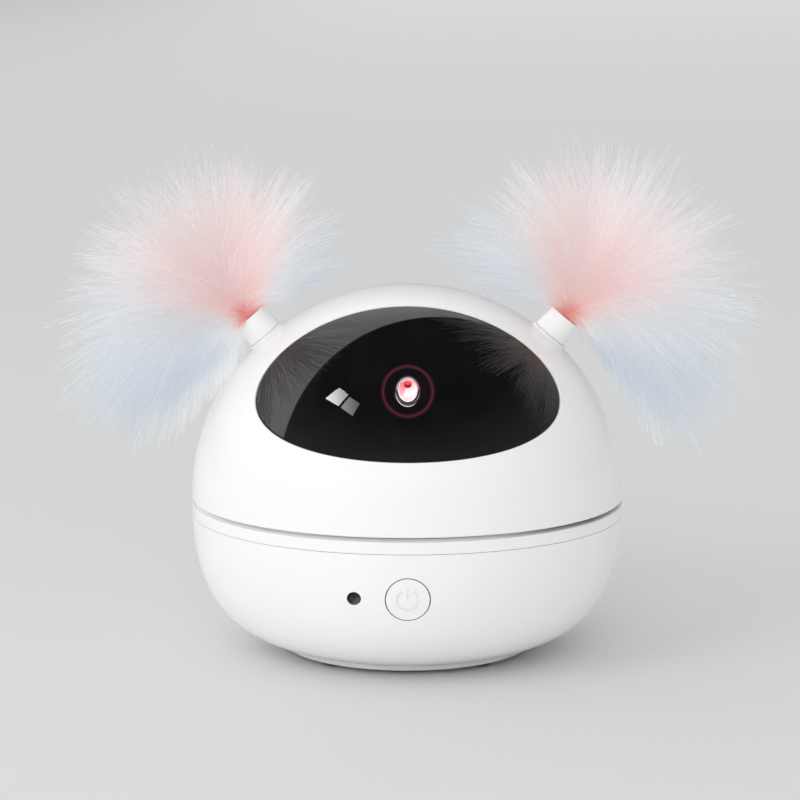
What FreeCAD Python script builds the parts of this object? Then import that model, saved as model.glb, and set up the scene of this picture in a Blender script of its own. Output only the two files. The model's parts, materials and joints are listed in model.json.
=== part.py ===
import FreeCAD, Part
import math
import os
from FreeCAD import Vector

# An automatic laser toy for cats: a bowl-shaped base, a dome-shaped head that turns on it,
# a laser behind a black visor and two pull-off feather ears.
# Millimetres. Origin on the resting plane under the centre, +Z up, -Y to the front, +X to
# the toy's own left (the right-hand side of a person who faces it).

# ------------------------------------------------------------------ outer form
body_radius = 55.0          # both shells, at the equator
equator_height = 39.3       # equator above the underside of the bottom cover
dome_height = 53.4          # crown above the equator
bowl_depth = 39.6           # depth below the equator at which the bowl's curve would close
bowl_side_power = 4.0       # how square the bowl's side is
bowl_floor_power = 2.7      # how square the bowl's underside is
shell_wall = 2.2
curve_points = 25           # interpolation points along each shell's curve

# ------------------------------------------------------------------ turning gap and deck
gap_drop = 1.35             # middle of the turning gap below the equator
gap_height = 1.1
band_height = 2.9           # visible edge of the deck between gap and seam
seam_gap = 0.12             # hairline seams between shells
edge_round = 0.35           # rounding of edges that a hand can touch
pan_depth = 5.2             # deck plate's top below the deck's rim
deck_thickness = 2.0
pan_wall = 2.0
fit_gap = 0.25              # a shell part that drops into another
seat_gap = 0.05             # a small part that is pushed or glued into its seat
turn_gap = 0.3              # between pieces that move past each other
play = 0.1                  # end play of clip and brushes
past = 1.0                  # cutters run this far past a face
on_plane = 0.01             # an edge this near a plane lies in it

# ------------------------------------------------------------------ underside
foot_stand = 1.0            # feet below the bottom cover
foot_radius = 4.0
foot_recess = 0.6
cover_radius = 31.6
cover_thickness = 1.25
floor_thickness = 2.25
hub_radius = 3.6            # cover hubs that locate in the bowl's floor
hub_height = 1.9
post_circle = 26.0          # long screws, feet and deck posts share this circle
post_angle = 48.0
post_radius = 3.0
boss_radius = 4.9
boss_height = 11.0          # bowl bosses above the floor

# ------------------------------------------------------------------ screws: shank radius
long_screw_radius = 1.3
long_screw_length = 21.0
small_screw_radius = 1.0
small_screw_length = 6.0
tiny_screw_radius = 0.8
tiny_screw_length = 3.4
head_share = 1.9            # screw head radius over shank radius
head_height = 1.2
clearance = 0.3             # screw hole over shank
slot_share = 1.2            # cross slot's length over the head's radius
slot_width = 0.35
slot_depth = 0.7

# ------------------------------------------------------------------ power, boards
battery_length = 50.0
battery_width = 25.0
battery_thickness = 7.6
battery_round = 2.3
pad_thickness = 0.4
pad_inset = 4.0             # foam pad in from the battery's edges
board_thickness = 1.2
board_length = 62.0
board_width = 25.0
board_height = 10.4         # main board above the bowl's floor
standoff_radius = 2.2
standoff_inset = 3.0
chips = [(-12.0, 3.0, 7.0, 1.2), (-20.5, -4.0, 4.9, 1.5), (20.5, 4.5, 3.9, 1.3)]  # x, y, side, height
plug_places = (15.0, 23.0)  # plug housings along the main board
plug_row = -8.0
plug_length = 6.0
plug_width = 4.5
plug_height = 5.0
plug_wall = 0.6
plug_pin = 0.6              # square pins in the plug housings
plug_pin_pitch = 2.0

# ------------------------------------------------------------------ power button, indicator
control_height = 24.1       # centre line of button and indicator
button_radius = 5.3
button_gap = 0.24
button_travel = 0.5
button_round = 0.1          # rounded rims of the button and of its hole
button_room = 0.7           # deck's relief round the button's flange and its board
symbol_radius = 2.6         # engraved power symbol: a ring open at the top and a bar
symbol_line = 0.45
symbol_depth = 0.25
symbol_gap_angle = 34.0     # half of the ring's opening
symbol_bar_top = 3.1        # above the button's centre
symbol_bar_length = 2.7
button_flange = 1.2         # flange past the button's radius
button_flange_depth = 1.0
indicator_offset = 13.0     # to the right of the toy's own centre line
indicator_radius = 1.62
indicator_recess = 0.5
switch_size = 6.0
switch_depth = 3.5
plunger_radius = 1.75
plunger_length = 1.6
plunger_hold = 0.6          # of the plunger, inside the switch at rest
stem_length = 0.6           # button's stem, up to the plunger
front_board_height = 13.0
front_board_margin = 2.6    # board past its screws
front_screw_room = 4.0      # screw beside the button's flange
led_screw_room = 5.0        # screw beside the indicator
led_width = 3.0
led_depth = 2.0

# ------------------------------------------------------------------ charging socket
socket_height = 24.0
socket_width = 8.94
socket_thickness = 3.26
socket_depth = 7.3
socket_wall = 0.3
socket_sink = 0.7           # socket's mouth behind the bowl's surface
socket_back_wall = 1.0
tongue_thickness = 0.7
tongue_side_gap = 0.9
tongue_setback = 0.6        # tongue's end behind the socket's mouth
plug_recess_width = 12.6
plug_recess_height = 6.8
charge_board_length = 13.0
charge_board_width = 18.0

# ------------------------------------------------------------------ gears
tooth_module = 0.8
pressure_angle = 20.0
addendum_share = 0.75
dedendum_share = 1.25
tooth_thinning = 0.1        # off each tooth's thickness, for backlash
pinion_teeth = 12
turn_gear_teeth = 50
sector_teeth = 40
turn_gear_face = 4.0
pinion_face = 4.0
sector_face = 3.0
sector_spread = 30.0        # half of the sector's arc, degrees

# ------------------------------------------------------------------ spindle and slip rings
spindle_radius = 6.0
spindle_bore = 3.4
running_gap = 0.05
bearing_wall = 2.4
bearing_length = 9.6
washer_thickness = 0.8
clip_groove_depth = 1.0
clip_thickness = 0.6
clip_radius = 8.0
clip_mouth_share = 0.75     # clip's mouth over its inner diameter
collar_length = 1.6         # spindle between clip groove and slip-ring disc
disc_seat_radius = 4.5
disc_radius = 11.0
disc_thickness = 1.2
ring_thickness = 0.1
ring_width = 1.0
ring_pitch = 1.8
brush_block_length = 4.0
brush_block_width = 8.0
brush_block_drop = 1.4      # block's top below the rings
brush_pitch = 2.2
brush_width = 0.8
brush_strip = 0.2           # thickness of the springy strips

# ------------------------------------------------------------------ gear motors
motor_width = 12.0
motor_depth = 10.0
gearbox_length = 9.0
can_length = 15.0
shaft_radius = 1.5
motor_boss_radius = 2.0
motor_boss_height = 0.7
motor_screw_offset = 4.5
motor_end_length = 0.8      # terminal end of the can
gearbox_plate = 0.9
pillar_radius = 0.8
pillar_inset = 1.4          # pillars' axes from the plates' edges
train_wheels = [            # radius, x and y over the motor's depth, both ends over the gearbox's length
    (0.36, 0.12, -0.06, 0.82, 0.67),
    (0.22, -0.20, 0.08, 1.00, 0.00),
    (0.38, 0.10, 0.06, 0.58, 0.38),
    (0.42, 0.00, 0.00, 0.29, 0.05),
]
shaft_seat = 2.0            # shaft inside the gearbox's front
pinion_drop = 0.6           # pinion's lower face below the turning gear's
pinion_overhang = 0.2       # tilt pinion past the sector, each side

# ------------------------------------------------------------------ head
head_floor_thickness = 2.0
head_floor_lift = 0.6       # head floor above the dome's edge
skirt_setback = 3.8         # ring under the head floor, in from the deck's pan wall
skirt_wall = 1.5
skirt_height = 5.0
dome_boss_radius = 3.0
dome_boss_angle = 40.0
gear_screw_circle = 13.0
dome_boss_margin = 0.6      # dome's screw bosses in from the head floor's edge
gear_floor = 0.4            # gear left under its screws' tips
head_board_length = 26.0
head_board_width = 15.0
head_board_y = 24.0
head_board_lift = 2.0
head_plug_places = (-4.0, 4.0)
head_plug_row = 27.5
lead_row = 19.5             # where the spindle's leads meet the head's board
lead_rise = 5.0             # leads' run above that board

# ------------------------------------------------------------------ visor and laser opening
visor_tilt = 35.0           # viewing direction that shows the visor's outline as an ellipse
visor_half_width = 37.2
visor_half_height = 23.1
visor_centre = 40.5         # centre of that ellipse from the origin, across the tilt
visor_thickness = 2.0
visor_gap = 0.15
ledge_width = 1.6
ledge_overlap = 2.4
ledge_thickness = 1.5
laser_height = 73.3
laser_dip = 5.0
bezel_radius = 3.1
bezel_wall = 0.22
bezel_proud = 0.15

# ------------------------------------------------------------------ laser carriage and frame
pivot_setback = 8.2         # tilt pivot behind the opening, along the beam
nozzle_radius = 2.38
nozzle_recess = 0.8
nozzle_mouth_wall = 0.15
nozzle_hole_radius = 0.9
nozzle_back = 0.8           # nozzle's back face ahead of the pivot
nozzle_step = 0.2           # barrel's front face behind the nozzle's
nozzle_throat = 0.5         # straight hole behind the nozzle's cone
barrel_radius = 3.0
barrel_length = 13.0
lens_radius = 2.0
lens_thickness = 0.9
lens_sink = 0.4             # lens behind the barrel's front
carriage_wall = 1.6
carriage_length = 11.0
trunnion_radius = 1.2
shoulder_wall = 0.9         # trunnion's shoulders
sector_gap = 0.5            # sector to the heads of the tilt motor's screws
cheek_gap = 7.0             # cheek's inner face from the centre plane
cheek_thickness = 2.0
pivot_cheek_radius = 2.3
frame_base_thickness = 2.0
frame_ahead = 4.0           # frame's base starts behind the pivot
frame_behind = 2.0          # frame's base past the tilt motor
frame_foot = 6.0            # feet outside the cheeks
frame_screw_offset = 3.0    # screws outside the cheeks
frame_screw_inset = 5.0     # screws in from the base's ends
frame_tie = 2.0             # cross wall between the cheeks
sector_angle = 45.0         # tilt pinion below and behind the pivot

# ------------------------------------------------------------------ ears
ear_angle = 50.0            # above the horizontal, along the dome's normal
ear_collar_radius = 4.75
ear_collar_tip_radius = 4.15
ear_collar_length = 6.0
ear_plug_radius = 3.0
ear_plug_length = 8.0
ear_cup_radius = 3.2
ear_cup_depth = 3.0
ear_boss_radius = 5.2
ear_boss_height = 0.4
ear_socket_wall = 1.7
ear_socket_floor = 1.0
tuft_ball_radius = 42.0     # round outline of the fibres' tips
tuft_lean = 5.0             # that ball's centre outwards from the ear's axis
tuft_rise = 5.2             # and beyond the collar's tip
tuft_fan = 109.0            # half of the fan, from the ear's axis
tuft_core_radius = 4.6
tuft_flank_angle = 44.0     # slope of the two flanks that clear the visor, front and back
tuft_keel = 13.0            # depth of the fan below the collar's tip where the flanks start
tuft_keel_half_width = 5.0

# ------------------------------------------------------------------ leads
lead_radius = 0.55
lead_pitch = 1.7
lead_bow = 3.2              # battery leads past the battery's end

# ------------------------------------------------------------------ heights worked out
equator_z = foot_stand + equator_height
rim_z = equator_z - gap_drop - gap_height / 2
dome_edge_z = rim_z + gap_height
band_bottom_z = rim_z - band_height
bowl_top_z = band_bottom_z - seam_gap
cover_top_z = foot_stand + cover_thickness
bowl_bottom_z = cover_top_z + seat_gap
floor_z = bowl_bottom_z + floor_thickness
boss_top_z = floor_z + boss_height
deck_top_z = rim_z - pan_depth
deck_bottom_z = deck_top_z - deck_thickness
head_floor_z = dome_edge_z + head_floor_lift
head_deck_z = head_floor_z + head_floor_thickness
head_board_z = head_deck_z + head_board_lift
turn_gear_z = head_floor_z - turn_gear_face
bearing_top_z = turn_gear_z - washer_thickness
bearing_bottom_z = bearing_top_z - bearing_length
board_z = floor_z + board_height
board_top_z = board_z + board_thickness

pinion_pitch = tooth_module * pinion_teeth / 2
turn_gear_pitch = tooth_module * turn_gear_teeth / 2
sector_pitch = tooth_module * sector_teeth / 2
pinion_tip = pinion_pitch + addendum_share * tooth_module
turn_axis_offset = turn_gear_pitch + pinion_pitch
tilt_axis_offset = sector_pitch + pinion_pitch

x_axis = Vector(1, 0, 0)
y_axis = Vector(0, 1, 0)
z_axis = Vector(0, 0, 1)


# ================================================================== plain shapes
def cylinder(radius, start, end):
    """Solid cylinder between two points."""
    span = end.sub(start)
    return Part.makeCylinder(radius, span.Length, start, span)


def tube(outer, inner, start, end):
    """Hollow cylinder between two points."""
    return cylinder(outer, start, end).cut(cylinder(inner, start, end))


def block(low, high):
    """Box between two opposite corners."""
    size = high.sub(low)
    return Part.makeBox(size.x, size.y, size.z, low)


def centred_block(length, width, low_z, high_z, centre=Vector(0, 0, 0)):
    """Box centred over a point, between two heights."""
    low = Vector(centre.x - length / 2, centre.y - width / 2, low_z)
    high = Vector(centre.x + length / 2, centre.y + width / 2, high_z)
    return block(low, high)


def extruded(points, direction):
    """Prism of a closed outline given by its corners."""
    return Part.Face(Part.makePolygon(points + points[:1])).extrude(direction)


def joined(shapes):
    """One solid from overlapping or touching solids."""
    first, rest = shapes[0], shapes[1:]
    return first.fuse(rest).removeSplitter() if rest else first


def around(radius, angles):
    """Points on a circle about the Z axis."""
    return [Vector(radius * math.cos(math.radians(a)), radius * math.sin(math.radians(a)), 0)
            for a in angles]


def at_height(point, z):
    """The same point at another height."""
    return Vector(point.x, point.y, z)


def mirrored(shape):
    """The shape on the other side of the toy's centre plane."""
    return shape.mirror(Vector(0, 0, 0), x_axis)


# ================================================================== shell curves
class ShellForm:
    """One shell's curve: (r / radius) ^ side + (depth / reach) ^ end = 1 about the equator."""

    def __init__(self, reach, side_power, end_power, sign):
        self.reach = reach
        self.side_power = side_power
        self.end_power = end_power
        self.sign = sign

    def share(self, z, inset):
        """Depth at a height over the whole reach, from 0 at the equator to 1."""
        return min(max(self.sign * (z - equator_z) / (self.reach - inset), 0.0), 1.0)

    def radius(self, z, inset=0.0):
        """Radius at a height."""
        rest = 1.0 - self.share(z, inset) ** self.end_power
        return (body_radius - inset) * rest ** (1.0 / self.side_power)

    def curve(self, start_z, end_z, inset=0.0):
        """Smooth edge along the shell between two heights on its side of the equator."""
        start, end = [math.asin(self.share(z, inset) ** (self.end_power / 2))
                      for z in (start_z, end_z)]
        points = []
        for step in range(curve_points):
            angle = start + (end - start) * step / (curve_points - 1)
            radius = (body_radius - inset) * abs(math.cos(angle)) ** (2 / self.side_power)
            depth = (self.reach - inset) * math.sin(angle) ** (2 / self.end_power)
            points.append(Vector(max(radius, 0.0), 0, equator_z + self.sign * depth))
        spline = Part.BSplineCurve()
        spline.interpolate(points)
        return spline.toShape()


dome_form = ShellForm(dome_height, 2.0, 2.0, 1)
bowl_form = ShellForm(bowl_depth, bowl_side_power, bowl_floor_power, -1)


def revolved(edges):
    """Solid of revolution about the Z axis of a closed outline in the XZ half plane."""
    face = Part.Face(Part.Wire(Part.__sortEdges__(edges)))
    solid = face.revolve(Vector(0, 0, 0), z_axis, 360)
    if solid.Volume < 0:
        solid.reverse()
    return solid


def filled_bowl(low_z, high_z, inset=0.0):
    """Everything inside the bowl's curve between two heights."""
    curve = bowl_form.curve(low_z, high_z, inset)
    low, high = curve.Vertexes[0].Point, curve.Vertexes[-1].Point
    return revolved([curve,
                     Part.makeLine(high, Vector(0, 0, high.z)),
                     Part.makeLine(Vector(0, 0, high.z), Vector(0, 0, low.z)),
                     Part.makeLine(Vector(0, 0, low.z), low)])


def filled_dome(inset=0.0):
    """Everything inside the dome's curve, from the dome's edge to its crown."""
    crown_z = equator_z + dome_height - inset
    curve = dome_form.curve(equator_z, crown_z, inset)
    side, crown = curve.Vertexes[0].Point, Vector(0, 0, crown_z)
    cap = revolved([curve, Part.makeLine(curve.Vertexes[-1].Point, Vector(0, 0, equator_z)),
                    Part.makeLine(Vector(0, 0, equator_z), side)])
    edge_disc = cylinder(side.x, Vector(0, 0, dome_edge_z), Vector(0, 0, equator_z))
    return cap.fuse(edge_disc).removeSplitter()


# ================================================================== screws and gears
def screw(seat, direction, radius, length):
    """Pan-head screw: its head sits on the seat, its shank runs along the direction."""
    drive = Vector(direction).normalize()
    head_radius = head_share * radius
    top = seat.sub(drive * head_height)
    body = joined([cylinder(head_radius, top, seat), cylinder(radius, seat, seat.add(drive * length))])
    across = drive.cross(x_axis if abs(drive.x) < 0.9 else y_axis)
    for turn in (0, 90):
        slot = Part.makeBox(slot_share * head_radius, slot_width, slot_depth)
        slot.translate(Vector(-slot_share * head_radius / 2, -slot_width / 2, 0))
        slot.rotate(Vector(0, 0, 0), z_axis, turn)
        slot.Placement = FreeCAD.Placement(top, FreeCAD.Rotation(across, drive.cross(across), drive,
                                                                 "ZXY")).multiply(slot.Placement)
        body = body.cut(slot)
    return body


def screws(seats, direction, radius, length):
    """A group of equal screws."""
    return Part.makeCompound([screw(seat, direction, radius, length) for seat in seats])


def screw_holes(seats, direction, radius, length):
    """Threaded holes for a group of screws."""
    drive = Vector(direction).normalize()
    return [cylinder(radius + seat_gap, seat, seat.add(drive * (length + clearance)))
            for seat in seats]


def involute(angle):
    """Involute function of a pressure angle in radians."""
    return math.tan(angle) - angle


def gear_solid(teeth, face_width):
    """Spur gear about the Z axis from z = 0, with a tooth centred on the +X side."""
    pitch = tooth_module * teeth / 2
    base = pitch * math.cos(math.radians(pressure_angle))
    tip = pitch + addendum_share * tooth_module
    root = pitch - dedendum_share * tooth_module
    foot = max(root, base)
    half_pitch = math.pi / (2 * teeth) - tooth_thinning / (2 * pitch)

    def half_angle(radius):
        steepness = math.acos(min(base / radius, 1.0))
        return half_pitch + involute(math.radians(pressure_angle)) - involute(steepness)

    def spot(radius, angle):
        return Vector(radius * math.cos(angle), radius * math.sin(angle), 0)

    edges = []
    step = 2 * math.pi / teeth
    for tooth in range(teeth):
        middle = tooth * step
        flank = [foot, (foot + tip) / 2, tip]
        rising = [spot(r, middle - half_angle(r)) for r in flank]
        falling = [spot(r, middle + half_angle(r)) for r in reversed(flank)]
        root_start = spot(root, middle - half_angle(foot))
        root_end = spot(root, middle + half_angle(foot))
        next_root = spot(root, middle + step - half_angle(foot))
        if foot > root:
            edges.append(Part.makeLine(root_start, rising[0]))
        edges.append(Part.Arc(*rising).toShape())
        edges.append(Part.Arc(rising[-1], spot(tip, middle), falling[0]).toShape())
        edges.append(Part.Arc(*falling).toShape())
        if foot > root:
            edges.append(Part.makeLine(falling[-1], root_end))
        edges.append(Part.Arc(root_end, spot(root, middle + step / 2), next_root).toShape())
    return Part.Face(Part.Wire(edges)).extrude(Vector(0, 0, face_width))


def placed(shape, origin, x_dir, z_dir):
    """The shape with its own X and Z axes turned to the given directions."""
    copy = shape.copy()
    rotation = FreeCAD.Rotation(x_dir, z_dir.cross(x_dir), z_dir, "ZXY")
    copy.Placement = FreeCAD.Placement(origin, rotation).multiply(copy.Placement)
    return copy


def lead(points, radius):
    """Round wire along straight runs joined by tangent arcs."""
    edges = []
    last = points[0]
    for before, corner, after in zip(points, points[1:], points[2:]):
        back, ahead = before.sub(corner), after.sub(corner)
        cut = 0.45 * min(back.Length, ahead.Length)
        back.normalize()
        ahead.normalize()
        start, end = corner.add(back * cut), corner.add(ahead * cut)
        half = math.pi / 2 - back.getAngle(ahead) / 2
        bend = cut / math.tan(half)
        inward = back.add(ahead).normalize()
        middle = corner.add(inward * (bend / math.cos(half) - bend))
        edges.append(Part.makeLine(last, start))
        edges.append(Part.Arc(start, middle, end).toShape())
        last = end
    edges.append(Part.makeLine(last, points[-1]))
    section = Part.Wire(Part.makeCircle(radius, points[0], points[1].sub(points[0])))
    return Part.Wire(edges).makePipeShell([section], True, False)


# ================================================================== shared places
posts = around(post_circle, [post_angle, 180 - post_angle, 180 + post_angle, -post_angle])
board_corners = [Vector(sx * (board_length / 2 - standoff_inset), sy * (board_width / 2 - standoff_inset), 0)
                 for sx in (-1, 1) for sy in (-1, 1)]

laser_axis = Vector(0, -math.cos(math.radians(laser_dip)), -math.sin(math.radians(laser_dip)))
opening = Vector(0, -dome_form.radius(laser_height), laser_height)
pivot = opening.sub(laser_axis * pivot_setback)
tilt_motor_axis = pivot.add(Vector(0, math.cos(math.radians(sector_angle)),
                                   -math.sin(math.radians(sector_angle))) * tilt_axis_offset)
turn_motor_axis = Vector(0, turn_axis_offset, 0)

ear_direction = Vector(math.cos(math.radians(ear_angle)), 0, math.sin(math.radians(ear_angle)))
normal_length = math.hypot(body_radius * ear_direction.x, dome_height * ear_direction.z)
ear_base = Vector(body_radius ** 2 * ear_direction.x / normal_length, 0,
                  equator_z + dome_height ** 2 * ear_direction.z / normal_length)
ear_seat = ear_base.add(ear_direction * ear_boss_height)

# The button slides along Y. Everything behind it is placed back from the bowl's inner wall.
flange_reach = button_radius + button_flange
flange_front_y = -math.sqrt(bowl_form.radius(control_height - flange_reach, shell_wall) ** 2
                            - flange_reach ** 2) + turn_gap
flange_back_y = flange_front_y + button_flange_depth
switch_front_y = flange_back_y + plunger_length
switch_back_y = switch_front_y + switch_depth
front_board_screws_x = (-indicator_offset - led_screw_room, flange_reach + front_screw_room)

socket_mouth_y = bowl_form.radius(socket_height) - socket_sink
socket_back_y = socket_mouth_y - socket_depth
charge_board_top_z = socket_height - socket_thickness / 2 - seat_gap
charge_board_end_y = math.sqrt(bowl_form.radius(charge_board_top_z - board_thickness, shell_wall) ** 2
                               - (charge_board_width / 2) ** 2) - 2 * fit_gap
charge_board_start_y = charge_board_end_y - charge_board_length
charge_board_seats = [Vector(sx * (charge_board_width / 2 - standoff_inset),
                             charge_board_start_y + standoff_inset, charge_board_top_z)
                      for sx in (-1, 1)]

pan_radius = bowl_form.radius(deck_bottom_z, shell_wall) - fit_gap
head_floor_radius = dome_form.radius(head_deck_z, shell_wall) - fit_gap
dome_boss_circle = head_floor_radius - dome_boss_radius - dome_boss_margin
dome_bosses = around(dome_boss_circle, [dome_boss_angle, 180 - dome_boss_angle,
                                        180 + dome_boss_angle, -dome_boss_angle])
gear_screw_spots = around(gear_screw_circle, [90, 210, 330])


def upright_cylinder(radius, point, low_z, high_z):
    """Cylinder along Z over a point."""
    return cylinder(radius, at_height(point, low_z), at_height(point, high_z))


# ================================================================== base
def base_bowl():
    """White lower shell with floor, bosses, standoffs and its front and rear openings."""
    outside = filled_bowl(bowl_bottom_z, bowl_top_z)
    hollow = filled_bowl(floor_z, bowl_top_z, shell_wall)
    shell = outside.cut(hollow)
    inner = []
    for spot in posts:
        inner.append(upright_cylinder(boss_radius, spot, bowl_bottom_z, boss_top_z))
    for spot in board_corners:
        inner.append(upright_cylinder(standoff_radius, spot, bowl_bottom_z, board_z))
    for seat in charge_board_seats:
        inner.append(upright_cylinder(standoff_radius, seat, bowl_bottom_z,
                                      charge_board_top_z - board_thickness))
    for x in front_board_screws_x:
        inner.append(cylinder(standoff_radius, Vector(x, -body_radius, control_height),
                              Vector(x, switch_back_y, control_height)))
    shell = joined([shell] + [piece.common(outside) for piece in inner])
    cuts = []
    for spot in posts:
        cuts.append(upright_cylinder(hub_radius + seat_gap, spot, 0, cover_top_z + hub_height + seat_gap))
        cuts.append(upright_cylinder(long_screw_radius + clearance, spot, 0, boss_top_z + past))
    cuts += screw_holes([at_height(spot, board_top_z) for spot in board_corners],
                        Vector(0, 0, -1), small_screw_radius, small_screw_length)
    cuts += screw_holes(charge_board_seats, Vector(0, 0, -1), small_screw_radius, small_screw_length)
    cuts += screw_holes([Vector(x, switch_back_y + board_thickness, control_height)
                         for x in front_board_screws_x],
                        Vector(0, -1, 0), tiny_screw_radius, tiny_screw_length)
    cuts.append(front_cylinder(button_radius + button_gap, 0, -body_radius - past, flange_back_y))
    cuts.append(front_cylinder(indicator_radius + seat_gap * 2, -indicator_offset, -body_radius - past,
                               switch_front_y))
    cuts.append(socket_prism(clearance / 2, socket_back_y, body_radius + past))
    cuts.append(rounded_prism(plug_recess_width, plug_recess_height, socket_height,
                              socket_mouth_y, body_radius + past))
    shell = shell.cut(cuts)
    return shell.makeFillet(button_round, [edge for edge in shell.Edges
                                           if on_bowl_front(edge, button_radius + button_gap)])


def front_cylinder(radius, x, start_y, end_y):
    """Cylinder along Y on the controls' centre line."""
    return cylinder(radius, Vector(x, start_y, control_height), Vector(x, end_y, control_height))


def rounded_prism(width, height, centre_z, start_y, end_y):
    """Prism along Y with a width, a height and full-round ends."""
    half = (width - height) / 2
    middle = block(Vector(-half, start_y, centre_z - height / 2), Vector(half, end_y, centre_z + height / 2))
    ends = [cylinder(height / 2, Vector(x, start_y, centre_z), Vector(x, end_y, centre_z))
            for x in (-half, half)]
    return joined([middle] + ends)


def socket_prism(grow, start_y, end_y):
    """Outline of the charging socket, grown on all sides."""
    return rounded_prism(socket_width + 2 * grow, socket_thickness + 2 * grow, socket_height,
                         start_y, end_y)


def base_deck():
    """Round pan that closes the bowl, with the bearing and the screw posts."""
    rim = filled_bowl(band_bottom_z, rim_z)
    pan = cylinder(pan_radius, Vector(0, 0, deck_bottom_z), Vector(0, 0, rim_z))
    hollow = cylinder(pan_radius - pan_wall, Vector(0, 0, deck_top_z), Vector(0, 0, rim_z + past))
    deck = rim.fuse(pan).cut(hollow)
    bearing = cylinder(spindle_radius + running_gap + bearing_wall, Vector(0, 0, bearing_bottom_z),
                       Vector(0, 0, bearing_top_z))
    legs = [upright_cylinder(post_radius, spot, boss_top_z, deck_top_z) for spot in posts]
    deck = joined([deck, bearing] + legs)
    cuts = [cylinder(spindle_radius + running_gap, Vector(0, 0, 0), Vector(0, 0, rim_z))]
    cuts += [upright_cylinder(long_screw_radius + seat_gap, spot, boss_top_z - past,
                              long_screw_seat_z() + long_screw_length + clearance) for spot in posts]
    cuts.append(upright_cylinder(motor_boss_radius + clearance, turn_motor_axis,
                                 deck_bottom_z - past, rim_z))
    cuts += screw_holes([at_height(spot, deck_top_z) for spot in turn_motor_screw_spots()],
                        Vector(0, 0, -1), tiny_screw_radius, tiny_screw_length)
    half = front_board_height / 2
    low_x, high_x = front_board_ends()
    cuts.append(front_cylinder(button_radius + button_gap, 0, -body_radius - past, flange_back_y))
    cuts.append(front_cylinder(flange_reach + button_room, 0, flange_front_y, switch_back_y))
    cuts.append(block(Vector(low_x - button_room, switch_back_y - button_room, control_height - half),
                      Vector(high_x + button_room, switch_back_y + board_thickness + button_room,
                             control_height + half + button_room)))
    deck = deck.cut(cuts)
    return deck.makeFillet(edge_round, [edge for edge in deck.Edges if on_gap_edge(edge, rim_z)])


def long_screw_seat_z():
    """Height at which the long screws' heads bear, inside the cover's hubs."""
    return foot_stand + foot_recess + head_height + seat_gap


def bottom_cover():
    """Thin round plate under the bowl, with foot recesses and locating hubs."""
    plate = cylinder(cover_radius, Vector(0, 0, foot_stand), Vector(0, 0, cover_top_z))
    plate = plate.makeFillet(edge_round, [e for e in plate.Edges if e.BoundBox.ZMax < foot_stand + on_plane])
    hubs = [upright_cylinder(hub_radius, spot, foot_stand + foot_recess, cover_top_z + hub_height)
            for spot in posts]
    cover = joined([plate] + hubs)
    cuts = []
    for spot in posts:
        cuts.append(upright_cylinder(foot_radius + seat_gap, spot, 0, foot_stand + foot_recess))
        cuts.append(upright_cylinder(long_screw_radius * head_share + clearance / 2, spot, 0,
                                     long_screw_seat_z()))
        cuts.append(upright_cylinder(long_screw_radius + clearance / 2, spot, 0, boss_top_z))
    return cover.cut(cuts)


def rubber_feet():
    """Four rubber discs, one over each long screw."""
    feet = []
    for spot in posts:
        foot = upright_cylinder(foot_radius, spot, 0, foot_stand + foot_recess)
        low_edges = [e for e in foot.Edges if e.BoundBox.ZMax < on_plane]
        feet.append(foot.makeFillet(edge_round, low_edges))
    return Part.makeCompound(feet)


def long_screws():
    """Screws from the cover through the bowl into the deck's posts."""
    seats = [at_height(spot, long_screw_seat_z()) for spot in posts]
    return screws(seats, z_axis, long_screw_radius, long_screw_length)


def thrust_washer():
    """Slippery washer between the deck's bearing and the turning gear."""
    return tube(spindle_radius + bearing_wall, spindle_radius + 2 * running_gap,
                Vector(0, 0, bearing_top_z), Vector(0, 0, turn_gear_z))


def battery_pad():
    """Foam tape that holds the battery on the bowl's floor."""
    return centred_block(battery_length - 2 * pad_inset, battery_width - 2 * pad_inset,
                         floor_z, floor_z + pad_thickness)


def battery_pack():
    """Flat pouch cell with rounded long edges."""
    low_z = floor_z + pad_thickness
    cell = centred_block(battery_length, battery_width, low_z, low_z + battery_thickness)
    long_edges = [e for e in cell.Edges if abs(e.tangentAt(0).x) > 0.9]
    return cell.makeFillet(min(battery_round, battery_thickness * 0.4), long_edges)


def main_board():
    """Main circuit board on four standoffs."""
    board = centred_block(board_length, board_width, board_z, board_top_z)
    return board.cut([upright_cylinder(small_screw_radius + clearance, spot, 0, board_top_z + past)
                      for spot in board_corners])


def board_screws():
    """Screws of the main board."""
    return screws([at_height(spot, board_top_z) for spot in board_corners], Vector(0, 0, -1),
                  small_screw_radius, small_screw_length)


def board_chips():
    """Controller, motor driver and charger chips on the main board."""
    return Part.makeCompound([centred_block(side, side, board_top_z, board_top_z + height,
                                            Vector(x, y, 0)) for x, y, side, height in chips])


def board_connectors():
    """Open-topped plug housings for battery and motor leads on the main board."""
    return Part.makeCompound([plug_housing(Vector(x, plug_row, board_top_z)) for x in plug_places])


def plug_housing(base):
    """Two-way plug housing with its open side up."""
    top_z = base.z + plug_height
    shell = centred_block(plug_length, plug_width, base.z, top_z, base)
    shell = shell.cut(centred_block(plug_length - 2 * plug_wall, plug_width - 2 * plug_wall,
                                    base.z + plug_wall, top_z + past, base))
    pins = [centred_block(plug_pin, plug_pin, base.z + plug_wall / 2, top_z - plug_wall,
                          base.add(Vector(side * plug_pin_pitch / 2, 0, 0))) for side in (-1, 1)]
    return joined([shell] + pins)


def slip_ring_z():
    """Height of the slip-ring disc's lower face."""
    return bearing_bottom_z - clip_thickness - 3 * play - collar_length - disc_thickness


def brush_radii():
    """Middle radius of each slip ring."""
    return [disc_seat_radius + ring_width * 1.6 + k * ring_pitch for k in range(3)]


def brush_block():
    """Insulating block on the main board that holds the brushes."""
    return centred_block(brush_block_length, brush_block_width, board_top_z, brush_block_top_z(),
                         Vector(disc_radius + brush_block_drop, 0, 0))


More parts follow.
